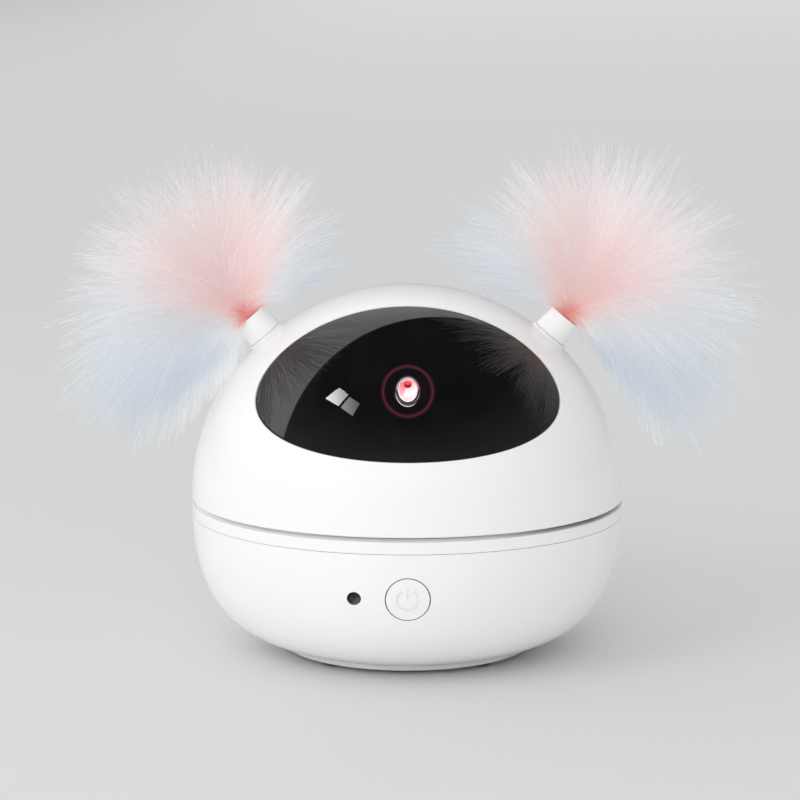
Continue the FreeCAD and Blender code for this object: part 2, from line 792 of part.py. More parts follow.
def brush_block_top_z():
    """Height of the brush block's top face."""
    return slip_ring_z() - ring_thickness - brush_block_drop


def brush_fingers():
    """Three springy copper strips that rub on the slip rings from below."""
    fingers = []
    contact_z = slip_ring_z() - ring_thickness - play
    block_top = brush_block_top_z()
    outer_x = disc_radius + brush_block_drop + brush_block_length / 2 - brush_strip
    bend_x = outer_x - brush_block_length * 0.75
    for number, radius in enumerate(brush_radii()):
        y = (number - 1) * brush_pitch - brush_width / 2
        contact_x = math.sqrt(radius ** 2 - (y + brush_width / 2) ** 2)
        tip_x = contact_x - ring_width
        under = [Vector(outer_x, y, block_top), Vector(bend_x, y, block_top),
                 Vector(contact_x, y, contact_z - brush_strip),
                 Vector(tip_x, y, contact_z - 2.5 * brush_strip)]
        over = [Vector(tip_x, y, contact_z - 1.5 * brush_strip), Vector(contact_x, y, contact_z),
                Vector(bend_x + brush_strip / 2, y, block_top + brush_strip),
                Vector(outer_x, y, block_top + brush_strip)]
        fingers.append(extruded(under + over, Vector(0, brush_width, 0)))
    return Part.makeCompound(fingers)


# ================================================================== front controls
def power_button():
    """Round button flush with the bowl, with a flange inside and a stem to the switch."""
    outside = filled_bowl(bowl_bottom_z, bowl_top_z)
    cap = front_cylinder(button_radius, 0, -body_radius - past, flange_back_y).common(outside)
    cap = cap.makeFillet(button_round, [edge for edge in cap.Edges if on_bowl_front(edge, button_radius)])
    cap = cap.cut(power_symbol().cut(filled_bowl(bowl_bottom_z, bowl_top_z, symbol_depth)))
    flange = front_cylinder(flange_reach, 0, flange_front_y, flange_back_y)
    stem = front_cylinder(plunger_radius, 0, flange_back_y, flange_back_y + stem_length)
    return joined([cap, flange, stem])


def on_bowl_front(edge, radius):
    """Whether an edge is where a front cylinder of that radius meets the bowl's outer surface."""
    middle = edge.valueAt((edge.FirstParameter + edge.LastParameter) / 2)
    on_cylinder = abs(math.hypot(middle.x, middle.z - control_height) - radius) < seat_gap
    outside = abs(math.hypot(middle.x, middle.y) - bowl_form.radius(middle.z)) < seat_gap
    return on_cylinder and outside and middle.y < 0


def power_symbol():
    """Prisms along Y of the engraved symbol: a ring open at the top and a bar."""
    front_y = -body_radius - past
    ring = front_cylinder(symbol_radius + symbol_line / 2, 0, front_y, flange_front_y).cut(
        front_cylinder(symbol_radius - symbol_line / 2, 0, front_y, flange_front_y))
    spread = 2 * symbol_radius * math.tan(math.radians(symbol_gap_angle))
    top_z = control_height + 2 * symbol_radius
    wedge = extruded([Vector(0, front_y, control_height), Vector(-spread, front_y, top_z),
                      Vector(spread, front_y, top_z)], y_axis * body_radius)
    bar_top = control_height + symbol_bar_top
    bar = block(Vector(-symbol_line / 2, front_y, bar_top - symbol_bar_length),
                Vector(symbol_line / 2, flange_front_y, bar_top))
    return Part.makeCompound([ring.cut(wedge), bar])


def switch_plunger():
    """Plunger of the tact switch, pushed by the button's stem."""
    return front_cylinder(plunger_radius, 0, flange_back_y + stem_length, switch_front_y + plunger_hold)


def tact_switch():
    """Tact switch body on the front board, with the plunger's pocket."""
    half = switch_size / 2
    body = block(Vector(-half, switch_front_y, control_height - half),
                 Vector(half, switch_back_y, control_height + half))
    pocket_end = switch_front_y + plunger_hold + button_travel + clearance
    return body.cut(front_cylinder(plunger_radius + seat_gap * 2, 0, switch_front_y - past, pocket_end))


def front_board():
    """Upright board behind the button and the indicator."""
    half = front_board_height / 2
    low_x, high_x = front_board_ends()
    board = block(Vector(low_x, switch_back_y, control_height - half),
                  Vector(high_x, switch_back_y + board_thickness, control_height + half))
    return board.cut([front_cylinder(tiny_screw_radius + clearance, x, switch_front_y,
                                     switch_back_y + board_thickness + past) for x in front_board_screws_x])


def front_board_ends():
    """Left and right ends of the front board."""
    return front_board_screws_x[0] - front_board_margin, front_board_screws_x[1] + front_board_margin


def front_board_screws():
    """Screws of the front board."""
    seats = [Vector(x, switch_back_y + board_thickness, control_height) for x in front_board_screws_x]
    return screws(seats, Vector(0, -1, 0), tiny_screw_radius, tiny_screw_length)


def indicator_lens():
    """Dark domed light guide in the bowl's front."""
    surface_y = -math.sqrt(bowl_form.radius(control_height) ** 2 - indicator_offset ** 2)
    front_y = surface_y + indicator_recess
    rod = front_cylinder(indicator_radius, -indicator_offset, front_y + indicator_radius * 0.6,
                         switch_back_y - led_depth - play)
    crown = Part.makeSphere(indicator_radius, Vector(-indicator_offset, front_y + indicator_radius,
                                                     control_height))
    return joined([rod, crown.common(front_cylinder(indicator_radius, -indicator_offset,
                                                    front_y - past, front_y + indicator_radius))])


def indicator_led():
    """Small lamp on the front board behind the light guide."""
    half = led_width / 2
    return block(Vector(-indicator_offset - half, switch_back_y - led_depth, control_height - half),
                 Vector(-indicator_offset + half, switch_back_y, control_height + half))


# ================================================================== charging socket
def charging_socket():
    """Metal shell of the charging socket, open to the rear."""
    shell = socket_prism(0, socket_back_y, socket_mouth_y)
    return shell.cut(socket_prism(-socket_wall, socket_back_y + socket_back_wall, socket_mouth_y + past))


def socket_tongue():
    """Contact tongue inside the charging socket."""
    half = socket_width / 2 - socket_wall - tongue_side_gap
    return block(Vector(-half, socket_back_y + socket_back_wall, socket_height - tongue_thickness / 2),
                 Vector(half, socket_mouth_y - tongue_setback, socket_height + tongue_thickness / 2))


def charge_board():
    """Small board that carries the charging socket."""
    low_z = charge_board_top_z - board_thickness
    board = block(Vector(-charge_board_width / 2, charge_board_start_y, low_z),
                  Vector(charge_board_width / 2, charge_board_end_y, charge_board_top_z))
    return board.cut([upright_cylinder(small_screw_radius + clearance, seat, low_z - past,
                                       charge_board_top_z + past)
                      for seat in charge_board_seats])


def charge_board_screws():
    """Screws of the charging board."""
    return screws(charge_board_seats, Vector(0, 0, -1), small_screw_radius, small_screw_length)


# ================================================================== gear motors
def turn_motor_screw_spots():
    """Two screws beside the turning motor's shaft."""
    return [turn_motor_axis.add(Vector(dx, 0, 0)) for dx in (-motor_screw_offset, motor_screw_offset)]


def motor_can():
    """Flat-sided motor can, hanging down from z = -gearbox_length."""
    round_can = cylinder(motor_width / 2, Vector(0, 0, -gearbox_length - can_length),
                         Vector(0, 0, -gearbox_length))
    flat_can = centred_block(motor_width, motor_depth, -gearbox_length - can_length, -gearbox_length)
    terminal_end = cylinder(motor_boss_radius, Vector(0, 0, -gearbox_length - can_length - motor_end_length),
                            Vector(0, 0, -gearbox_length - can_length))
    return joined([round_can.common(flat_can), terminal_end])


def gearbox():
    """Two plates, corner pillars and the stacked gears of the gearbox, its face at z = 0."""
    front = centred_block(motor_width, motor_depth, -gearbox_plate, 0)
    back = centred_block(motor_width, motor_depth, -gearbox_length, -gearbox_length + gearbox_plate)
    pillar_x, pillar_y = motor_width / 2 - pillar_inset, motor_depth / 2 - pillar_inset
    pillars = [upright_cylinder(pillar_radius, Vector(side * pillar_x, side * pillar_y, 0),
                                -gearbox_length, 0) for side in (-1, 1)]
    train = [upright_cylinder(radius * motor_depth, Vector(x, y, 0) * motor_depth,
                              -start * gearbox_length, -end * gearbox_length)
             for radius, x, y, start, end in train_wheels]
    nose = cylinder(motor_boss_radius, Vector(0, 0, -gearbox_plate), Vector(0, 0, motor_boss_height))
    body = joined([front, back, nose] + pillars + train)
    bore = cylinder(shaft_radius + running_gap, Vector(0, 0, -shaft_seat - clearance),
                    Vector(0, 0, motor_boss_height + past))
    holes = [upright_cylinder(tiny_screw_radius + seat_gap, Vector(side * motor_screw_offset, 0, 0),
                              -tiny_screw_length + deck_thickness - past, past) for side in (-1, 1)]
    return body.cut([bore] + holes)


def on_turn_motor(shape):
    """From a motor's own frame to the turning motor's place, shaft up."""
    return placed(shape, at_height(turn_motor_axis, deck_bottom_z), x_axis, z_axis)


def on_tilt_motor(shape):
    """From a motor's own frame to the tilting motor's place, shaft towards -X."""
    face = Vector(cheek_gap + cheek_thickness, tilt_motor_axis.y, tilt_motor_axis.z)
    return placed(shape, face, z_axis, Vector(-1, 0, 0))


def pinion_solid(face_width):
    """Pinion with its shaft's bore, from z = 0, with a gap between teeth on its +X side."""
    wheel = gear_solid(pinion_teeth, face_width)
    wheel.rotate(Vector(0, 0, 0), z_axis, 180.0 / pinion_teeth)
    return wheel.cut(cylinder(shaft_radius, Vector(0, 0, -past), Vector(0, 0, face_width + past)))


def turn_pinion_z():
    """Lower face of the pinion that turns the head."""
    return turn_gear_z + turn_gear_face - pinion_face - pinion_drop


def turn_pinion():
    """Pinion on the turning motor's shaft."""
    return placed(pinion_solid(pinion_face), at_height(turn_motor_axis, turn_pinion_z()),
                  Vector(0, -1, 0), z_axis)


def turn_shaft():
    """Output shaft of the turning motor."""
    return cylinder(shaft_radius, at_height(turn_motor_axis, deck_bottom_z - shaft_seat),
                    at_height(turn_motor_axis, turn_pinion_z() + pinion_face))


def turn_motor_screws():
    """Screws that hold the turning motor's gearbox under the deck."""
    return screws([at_height(spot, deck_top_z) for spot in turn_motor_screw_spots()],
                  Vector(0, 0, -1), tiny_screw_radius, tiny_screw_length)


# ================================================================== head
def in_visor_frame(shape):
    """From a frame with X across, Y up the visor and Z out through it, to the head."""
    tilt = math.radians(visor_tilt)
    up = Vector(0, math.sin(tilt), math.cos(tilt))
    out = Vector(0, -math.cos(tilt), math.sin(tilt))
    return placed(shape, up * visor_centre, x_axis, out)


def visor_prism(grow):
    """Elliptical prism through the visor's outline, grown on all sides."""
    wide, high = visor_half_width + grow, visor_half_height + grow
    points = [Vector(wide, 0, 0), Vector(0, high, 0)]
    if wide < high:
        points.reverse()
    ellipse = Part.Ellipse(points[0], points[1], Vector(0, 0, 0)).toShape()
    return in_visor_frame(Part.Face(Part.Wire(ellipse)).extrude(Vector(0, 0, body_radius + dome_height)))


def laser_cylinder(radius, start, end):
    """Cylinder along the beam, between two distances ahead of the pivot."""
    return cylinder(radius, pivot.add(laser_axis * start), pivot.add(laser_axis * end))


def dome_shell():
    """White upper shell with the visor's recess and ledge, ear sockets and screw bosses."""
    outside = filled_dome()
    shell = outside.cut(filled_dome(shell_wall).fuse(
        cylinder(body_radius - shell_wall, Vector(0, 0, dome_edge_z - past), Vector(0, 0, equator_z))))
    ledge_outer = filled_dome(visor_thickness + seat_gap)
    ledge = ledge_outer.cut(filled_dome(visor_thickness + seat_gap + ledge_thickness))
    ledge = ledge.common(visor_prism(ledge_overlap))
    room = filled_dome(shell_wall / 2)
    bosses = [upright_cylinder(dome_boss_radius, spot, head_deck_z, equator_z + dome_height).common(room)
              for spot in dome_bosses]
    plug_room = ear_plug_length + running_gap
    socket = ear_cylinder(ear_plug_radius + ear_socket_wall, -plug_room - ear_socket_floor, -shell_wall / 2)
    boss = ear_cylinder(ear_boss_radius, -shell_wall * 0.75, ear_boss_height)
    bore = ear_cylinder(ear_plug_radius + running_gap, -plug_room, ear_boss_height + past)
    shell = joined([shell, ledge] + bosses + [socket, boss, mirrored(socket), mirrored(boss)])
    skin = filled_dome(-past).cut(ledge_outer)
    cuts = [skin.common(visor_prism(visor_gap)), visor_prism(-ledge_width), bore, mirrored(bore)]
    cuts += screw_holes([at_height(spot, head_floor_z) for spot in dome_bosses], z_axis,
                        small_screw_radius, small_screw_length)
    shell = shell.cut(cuts)
    return shell.makeFillet(edge_round, [edge for edge in shell.Edges
                                         if on_visor_outline(edge) or on_gap_edge(edge, dome_edge_z)])


def on_visor_outline(edge):
    """Whether an edge is the dome's outer one round the visor."""
    middle = edge.valueAt((edge.FirstParameter + edge.LastParameter) / 2)
    box = edge.BoundBox
    crosswise = box.XLength > visor_half_width and box.YLength > past and box.ZMin > equator_z + past
    return crosswise and abs(math.hypot(middle.x, middle.y) - dome_form.radius(middle.z)) < seat_gap


def on_gap_edge(edge, z):
    """Whether an edge runs round the outside at a height."""
    box = edge.BoundBox
    level = box.ZLength < seat_gap and abs(box.ZMin - z) < seat_gap
    return level and box.XLength > 2 * (body_radius - shell_wall / 2)


def ear_cylinder(radius, start, end):
    """Cylinder along the ear's axis, between two distances outside the dome."""
    return cylinder(radius, ear_base.add(ear_direction * start), ear_base.add(ear_direction * end))


def visor():
    """Gloss black window, flush with the dome."""
    pane = filled_dome().cut(filled_dome(visor_thickness)).common(visor_prism(0))
    return pane.cut(laser_cylinder(bezel_radius + seat_gap / 2, 0, pivot_setback * 2))


def laser_bezel():
    """Thin metal ring round the laser opening, cut along the dome."""
    ring = laser_cylinder(bezel_radius, 0, pivot_setback * 2)
    ring = ring.cut(laser_cylinder(bezel_radius - bezel_wall, 0, pivot_setback * 2))
    return ring.common(filled_dome(-bezel_proud)).cut(filled_dome(visor_thickness))


def head_floor():
    """Plate that closes the dome's underside, with a skirt that drops into the deck."""
    plate = cylinder(head_floor_radius, Vector(0, 0, head_floor_z), Vector(0, 0, head_deck_z))
    skirt_radius = pan_radius - pan_wall - skirt_setback
    skirt = tube(skirt_radius, skirt_radius - skirt_wall, Vector(0, 0, head_floor_z - skirt_height),
                 Vector(0, 0, head_deck_z))
    board_posts = [upright_cylinder(standoff_radius, spot, head_deck_z, head_board_z)
                   for spot in head_board_spots()]
    plate = joined([plate, skirt] + board_posts)
    cuts = [cylinder(spindle_bore, Vector(0, 0, 0), Vector(0, 0, head_deck_z + past))]
    cuts += [upright_cylinder(small_screw_radius + clearance, spot, 0, head_deck_z + past)
             for spot in dome_bosses + gear_screw_spots]
    cuts += screw_holes([at_height(spot, head_deck_z + frame_base_thickness) for spot in frame_screw_spots()],
                        Vector(0, 0, -1), tiny_screw_radius, tiny_screw_length)
    cuts += screw_holes([at_height(spot, head_board_z + board_thickness) for spot in head_board_spots()],
                        Vector(0, 0, -1), tiny_screw_radius, tiny_screw_length)
    return plate.cut(cuts)


def dome_screws():
    """Screws from below that hold the dome to the head floor."""
    return screws([at_height(spot, head_floor_z) for spot in dome_bosses], z_axis,
                  small_screw_radius, small_screw_length)


def turn_gear():
    """Large gear under the head floor, in one piece with the hollow spindle."""
    wheel = gear_solid(turn_gear_teeth, turn_gear_face)
    wheel.rotate(Vector(0, 0, 0), z_axis, 90)
    wheel.translate(Vector(0, 0, turn_gear_z))
    groove_top = bearing_bottom_z - play
    groove_bottom = groove_top - clip_thickness - 2 * play
    seat_z = slip_ring_z() + disc_thickness
    shaft = [cylinder(spindle_radius, Vector(0, 0, groove_top), Vector(0, 0, turn_gear_z)),
             cylinder(spindle_radius - clip_groove_depth, Vector(0, 0, seat_z), Vector(0, 0, groove_top)),
             cylinder(spindle_radius, Vector(0, 0, seat_z), Vector(0, 0, groove_bottom)),
             cylinder(disc_seat_radius, Vector(0, 0, slip_ring_z() - disc_thickness / 2),
                      Vector(0, 0, seat_z))]
    body = joined([wheel] + shaft)
    cuts = [cylinder(spindle_bore, Vector(0, 0, 0), Vector(0, 0, head_floor_z + past))]
    cuts += [upright_cylinder(small_screw_radius + seat_gap, spot, turn_gear_z + gear_floor,
                              head_floor_z + past)
             for spot in gear_screw_spots]
    return body.cut(cuts)


def gear_screws():
    """Screws from above that hold the turning gear under the head floor."""
    length = head_floor_thickness + turn_gear_face - gear_floor - clearance
    return screws([at_height(spot, head_deck_z) for spot in gear_screw_spots], Vector(0, 0, -1),
                  small_screw_radius, length)


def retaining_clip():
    """Open spring clip in the spindle's groove, under the bearing."""
    low_z = bearing_bottom_z - 2 * play - clip_thickness
    inner = spindle_radius - clip_groove_depth + seat_gap
    ring = tube(clip_radius, inner, Vector(0, 0, low_z), Vector(0, 0, low_z + clip_thickness))
    half = inner * clip_mouth_share
    mouth = block(Vector(0, -half, low_z - past),
                  Vector(clip_radius + past, half, low_z + clip_thickness + past))
    return ring.cut(mouth)


def slip_ring_disc():
    """Insulating disc pushed onto the spindle's lower end."""
    return tube(disc_radius, disc_seat_radius + seat_gap, Vector(0, 0, slip_ring_z()),
                Vector(0, 0, slip_ring_z() + disc_thickness))


def slip_rings():
    """Three copper rings under the slip-ring disc."""
    low = Vector(0, 0, slip_ring_z() - ring_thickness)
    high = Vector(0, 0, slip_ring_z())
    return Part.makeCompound([tube(radius + ring_width / 2, radius - ring_width / 2, low, high)
                              for radius in brush_radii()])


def head_board_spots():
    """Screw places of the head's small board, behind the spindle."""
    x = head_board_length / 2 - standoff_radius - clearance
    return [Vector(side * x, head_board_y, 0) for side in (-1, 1)]


def head_board():
    """Small board in the head that joins the spindle's leads to laser and tilt motor."""
    top_z = head_board_z + board_thickness
    board = centred_block(head_board_length, head_board_width, head_board_z, top_z,
                          Vector(0, head_board_y, 0))
    return board.cut([upright_cylinder(tiny_screw_radius + clearance, spot, 0, top_z + past)
                      for spot in head_board_spots()])


def head_board_screws():
    """Screws of the head's board."""
    return screws([at_height(spot, head_board_z + board_thickness) for spot in head_board_spots()],
                  Vector(0, 0, -1), tiny_screw_radius, tiny_screw_length)


def head_connectors():
    """Plug housings on the head's board."""
    top = head_board_z + board_thickness
    return Part.makeCompound([plug_housing(Vector(x, head_plug_row, top)) for x in head_plug_places])


# ================================================================== laser frame and carriage
def frame_screw_spots():
    """Four screws in the laser frame's feet."""
    x = cheek_gap + cheek_thickness + frame_screw_offset
    return [Vector(sx * x, y, 0) for sx in (-1, 1)
            for y in (frame_front_y() + frame_screw_inset, frame_back_y() - frame_screw_inset)]


def frame_front_y():
    """Front end of the laser frame's base."""
    return pivot.y + frame_ahead


def frame_back_y():
    """Back end of the laser frame's base."""
    return tilt_motor_axis.y + motor_width / 2 + frame_behind


def laser_frame():
    """Upright frame with two cheeks that carry the laser's pivot and the tilt motor."""
    foot_reach = cheek_gap + cheek_thickness + frame_foot
    base = block(Vector(-foot_reach, frame_front_y(), head_deck_z),
                 Vector(foot_reach, frame_back_y(), head_deck_z + frame_base_thickness))
    cheeks = []
    for inner_x in (-cheek_gap - cheek_thickness, cheek_gap):
        outline = [Vector(inner_x, frame_front_y(), head_deck_z),
                   Vector(inner_x, frame_back_y(), head_deck_z),
                   Vector(inner_x, frame_back_y(), tilt_motor_axis.z + motor_boss_radius),
                   Vector(inner_x, tilt_motor_axis.y + shaft_radius, tilt_motor_axis.z + motor_depth),
                   Vector(inner_x, pivot.y + pivot_cheek_radius * 0.45, pivot.z + pivot_cheek_radius * 0.9),
                   Vector(inner_x, pivot.y - pivot_cheek_radius * 0.87, pivot.z),
                   Vector(inner_x, pivot.y, pivot.z - motor_width * 0.67)]
        cheek = extruded(outline, x_axis * cheek_thickness)
        ear = cylinder(pivot_cheek_radius, Vector(inner_x, pivot.y, pivot.z),
                       Vector(inner_x + cheek_thickness, pivot.y, pivot.z))
        cheeks += [cheek, ear]
    tie_z = tilt_motor_axis.z - pinion_tip - 2 * frame_tie
    tie = block(Vector(-cheek_gap - cheek_thickness / 2, frame_back_y() - 1.5 * frame_tie, head_deck_z),
                Vector(cheek_gap + cheek_thickness / 2, frame_back_y() - frame_tie / 2, tie_z))
    frame = joined([base] + cheeks + [tie])
    reach = cheek_gap + cheek_thickness + past
    cuts = [cylinder(trunnion_radius + running_gap, Vector(-reach, pivot.y, pivot.z),
                     Vector(reach, pivot.y, pivot.z))]
    cuts.append(cylinder(motor_boss_radius + clearance / 2, Vector(0, tilt_motor_axis.y, tilt_motor_axis.z),
                         Vector(reach, tilt_motor_axis.y, tilt_motor_axis.z)))
    cuts += screw_holes(tilt_motor_screw_seats(), x_axis, tiny_screw_radius, tiny_screw_length)
    cuts += [upright_cylinder(tiny_screw_radius + clearance / 2, spot, head_deck_z - past,
                              head_deck_z + frame_base_thickness + past)
             for spot in frame_screw_spots()]
    return frame.cut(cuts)


def frame_screws():
    """Screws of the laser frame."""
    return screws([at_height(spot, head_deck_z + frame_base_thickness) for spot in frame_screw_spots()],
                  Vector(0, 0, -1), tiny_screw_radius, tiny_screw_length)


def tilt_motor_screw_seats():
    """Two screws through the right cheek into the tilt motor's gearbox."""
    return [Vector(cheek_gap, tilt_motor_axis.y, tilt_motor_axis.z + dz)
            for dz in (-motor_screw_offset, motor_screw_offset)]


def tilt_motor_screws():
    """Screws that hold the tilt motor to the frame's cheek."""
    return screws(tilt_motor_screw_seats(), x_axis, tiny_screw_radius, tiny_screw_length)


def tilt_pinion():
    """Pinion on the tilt motor's shaft."""
    towards_pivot = pivot.sub(tilt_motor_axis)
    towards_pivot = Vector(0, towards_pivot.y, towards_pivot.z).normalize()
    width = sector_face + 2 * pinion_overhang
    return placed(pinion_solid(width), Vector(tilt_pinion_x(), tilt_motor_axis.y, tilt_motor_axis.z),
                  towards_pivot, x_axis)


def tilt_shaft():
    """Output shaft of the tilt motor."""
    return cylinder(shaft_radius, Vector(tilt_pinion_x(), tilt_motor_axis.y, tilt_motor_axis.z),
                    Vector(cheek_gap + cheek_thickness + shaft_seat, tilt_motor_axis.y, tilt_motor_axis.z))


def sector_x():
    """Inner face of the tilt sector."""
    return cheek_gap - head_height - sector_gap - sector_face


def tilt_pinion_x():
    """Inner face of the tilt pinion."""
    return sector_x() - pinion_overhang


def laser_carriage():
    """Clamp round the laser barrel, with trunnions and the tilt sector."""
    sleeve_radius = barrel_radius + carriage_wall
    sleeve_front = nozzle_back - nozzle_step - clearance
    sleeve = laser_cylinder(sleeve_radius, sleeve_front, sleeve_front - carriage_length)
    sleeve = sleeve.common(filled_dome(visor_thickness + 2 * turn_gap))
    trunnion = cylinder(trunnion_radius, Vector(-cheek_gap - cheek_thickness, pivot.y, pivot.z),
                        Vector(cheek_gap + cheek_thickness, pivot.y, pivot.z))
    shoulder = cylinder(trunnion_radius + shoulder_wall, Vector(-cheek_gap + turn_gap, pivot.y, pivot.z),
                        Vector(cheek_gap - turn_gap, pivot.y, pivot.z))
    towards_motor = tilt_motor_axis.sub(pivot)
    towards_motor = Vector(0, towards_motor.y, towards_motor.z).normalize()
    wheel = gear_solid(sector_teeth, sector_face)
    reach = 2 * sector_pitch
    spread = math.radians(sector_spread)
    wedge = extruded([Vector(0, 0, -past), Vector(reach * math.cos(spread), -reach * math.sin(spread), -past),
                      Vector(reach * math.cos(spread), reach * math.sin(spread), -past)],
                     Vector(0, 0, sector_face + 2 * past))
    sector = placed(wheel.common(wedge), Vector(sector_x(), pivot.y, pivot.z), towards_motor, x_axis)
    body = joined([sleeve, trunnion, shoulder, sector])
    return body.cut(laser_cylinder(barrel_radius + seat_gap / 2, sleeve_radius * 2, -carriage_length * 2))


def laser_barrel():
    """Round laser module, open at the front for its lens."""
    front = nozzle_back - nozzle_step
    barrel = laser_cylinder(barrel_radius, front, front - barrel_length)
    return barrel.cut(laser_cylinder(lens_radius + seat_gap / 2, front + past,
                                     front - lens_sink - lens_thickness))


def laser_lens():
    """Round lens in the barrel's front."""
    start = nozzle_back - nozzle_step - lens_sink - lens_thickness
    return laser_cylinder(lens_radius, start, start + lens_thickness)


def laser_nozzle():
    """White cone ahead of the barrel, its front cut along the dome."""
    front = pivot_setback * 2
    body = laser_cylinder(nozzle_radius, nozzle_back, front)
    flange = laser_cylinder(barrel_radius, nozzle_back - nozzle_step, nozzle_back + nozzle_recess)
    body = joined([body, flange])
    body = body.common(filled_dome(nozzle_recess))
    mouth_radius = nozzle_radius - nozzle_mouth_wall
    cone_start = nozzle_back + nozzle_throat
    cone_end = pivot_setback - nozzle_recess - nozzle_radius
    cone = Part.makeCone(nozzle_hole_radius, mouth_radius, cone_end - cone_start,
                         pivot.add(laser_axis * cone_start), laser_axis)
    beyond = laser_cylinder(mouth_radius, cone_end, front + past)
    return body.cut([cone, beyond, laser_cylinder(nozzle_hole_radius, nozzle_back - past, cone_start + play)])


# ================================================================== ears (made on the +X side)
def ear_collar():
    """Glossy collar with a plug for the dome's socket and a cup for the tuft."""
    plug_end = ear_seat.sub(ear_direction * (ear_plug_length + ear_boss_height))
    tip = ear_seat.add(ear_direction * ear_collar_length)
    collar = Part.makeCone(ear_collar_radius, ear_collar_tip_radius, ear_collar_length, ear_seat,
                           ear_direction)
    collar = collar.makeFillet(edge_round, [e for e in collar.Edges if len(e.Vertexes) == 1])
    plug = cylinder(ear_plug_radius, plug_end, ear_seat.add(ear_direction))
    cup = cylinder(ear_cup_radius, tip.sub(ear_direction * ear_cup_depth), tip.add(ear_direction))
    return joined([collar, plug]).cut(cup)


def ear_tuft():
    """Soft fan of fibres about the ear's axis, with its bound root in the collar's cup."""
    tip = ear_seat.add(ear_direction * ear_collar_length)
    fan = math.radians(tuft_fan)
    reach = 2 * tuft_ball_radius
    low = Vector(reach * math.sin(fan), 0, reach * math.cos(fan))
    neck = Vector(tuft_core_radius, 0, turn_gap)
    root = Vector(0, 0, neck.z)
    crown = Vector(0, 0, reach)
    spray = revolved([Part.makeLine(root, neck), Part.makeLine(neck, low),
                      Part.makeLine(low, Vector(low.x, 0, reach)),
                      Part.makeLine(Vector(low.x, 0, reach), crown), Part.makeLine(crown, root)])
    puff = Part.makeSphere(tuft_ball_radius, Vector(tuft_lean, 0, tuft_rise)).common(spray)
    slope = math.tan(math.radians(tuft_flank_angle))
    roof_low = -tuft_keel
    flank = [Vector(-reach, tuft_keel_half_width, roof_low),
             Vector(-reach, reach, roof_low + slope * (reach - tuft_keel_half_width)),
             Vector(-reach, reach, -reach), Vector(-reach, tuft_keel_half_width, -reach)]
    far_flank = [Vector(corner.x, -corner.y, corner.z) for corner in flank]
    puff = puff.cut([extruded(side, Vector(2 * reach, 0, 0)) for side in (flank, far_flank)])
    stem = cylinder(ear_cup_radius - seat_gap, Vector(0, 0, seat_gap - ear_cup_depth),
                    Vector(0, 0, neck.z + past))
    return placed(joined([puff, stem]), tip, Vector(ear_direction.z, 0, -ear_direction.x), ear_direction)


# ================================================================== leads
def battery_leads():
    """Two leads from the battery's end to the main board's underside."""
    leads = []
    start_x = battery_length / 2
    lead_z = floor_z + pad_thickness + battery_thickness / 2
    for side in (-1, 1):
        y = side * lead_pitch / 2
        leads.append(lead([Vector(start_x, y, lead_z), Vector(start_x + lead_bow, y, lead_z),
                           Vector(start_x + lead_bow, y, board_z)], lead_radius))
    return Part.makeCompound(leads)


def spindle_leads():
    """Three leads from the slip-ring disc up the hollow spindle to the head's board."""
    leads = []
    high_z = head_board_z + lead_rise
    for number in range(3):
        x = (number - 1) * lead_pitch
        leads.append(lead([Vector(x, 0, slip_ring_z()), Vector(x, 0, high_z), Vector(x, lead_row, high_z),
                           Vector(x, lead_row, head_board_z + board_thickness)], lead_radius))
    return Part.makeCompound(leads)


# ================================================================== export
nodes = {
    "base_bowl": base_bowl,
    "base_deck": base_deck,
    "bottom_cover": bottom_cover,
    "rubber_feet": rubber_feet,
    "long_screws": long_screws,
    "thrust_washer": thrust_washer,
    "battery_pad": battery_pad,
    "battery_pack": battery_pack,
    "battery_leads": battery_leads,
    "main_board": main_board,
    "board_screws": board_screws,
    "board_chips": board_chips,
    "board_connectors": board_connectors,
    "brush_block": brush_block,
    "brush_fingers": brush_fingers,
    "tact_switch": tact_switch,
    "front_board": front_board,
    "front_board_screws": front_board_screws,
    "indicator_lens": indicator_lens,
    "indicator_led": indicator_led,
    "charging_socket": charging_socket,
    "socket_tongue": socket_tongue,
    "charge_board": charge_board,
    "charge_board_screws": charge_board_screws,
    "turn_motor_can": lambda: on_turn_motor(motor_can()),
    "turn_gearbox": lambda: on_turn_motor(gearbox()),
    "turn_motor_screws": turn_motor_screws,
    "turn_pinion": turn_pinion,
    "turn_shaft": turn_shaft,
    "power_button": power_button,
    "switch_plunger": switch_plunger,
    "dome_shell": dome_shell,
    "visor": visor,
    "laser_bezel": laser_bezel,
    "head_floor": head_floor,
    "dome_screws": dome_screws,
    "turn_gear": turn_gear,
    "gear_screws": gear_screws,
    "retaining_clip": retaining_clip,
    "slip_ring_disc": slip_ring_disc,
    "slip_rings": slip_rings,
    "spindle_leads": spindle_leads,
    "head_board": head_board,
    "head_board_screws": head_board_screws,
    "head_connectors": head_connectors,
    "laser_frame": laser_frame,
    "frame_screws": frame_screws,
    "tilt_motor_can": lambda: on_tilt_motor(motor_can()),
    "tilt_gearbox": lambda: on_tilt_motor(gearbox()),
    "tilt_motor_screws": tilt_motor_screws,
    "tilt_pinion": tilt_pinion,
    "tilt_shaft": tilt_shaft,
    "laser_carriage": laser_carriage,
    "laser_barrel": laser_barrel,
    "laser_lens": laser_lens,
    "laser_nozzle": laser_nozzle,
    "left_ear_collar": ear_collar,
    "left_ear_tuft": ear_tuft,
    "right_ear_collar": lambda: mirrored(ear_collar()),
    "right_ear_tuft": lambda: mirrored(ear_tuft()),
}

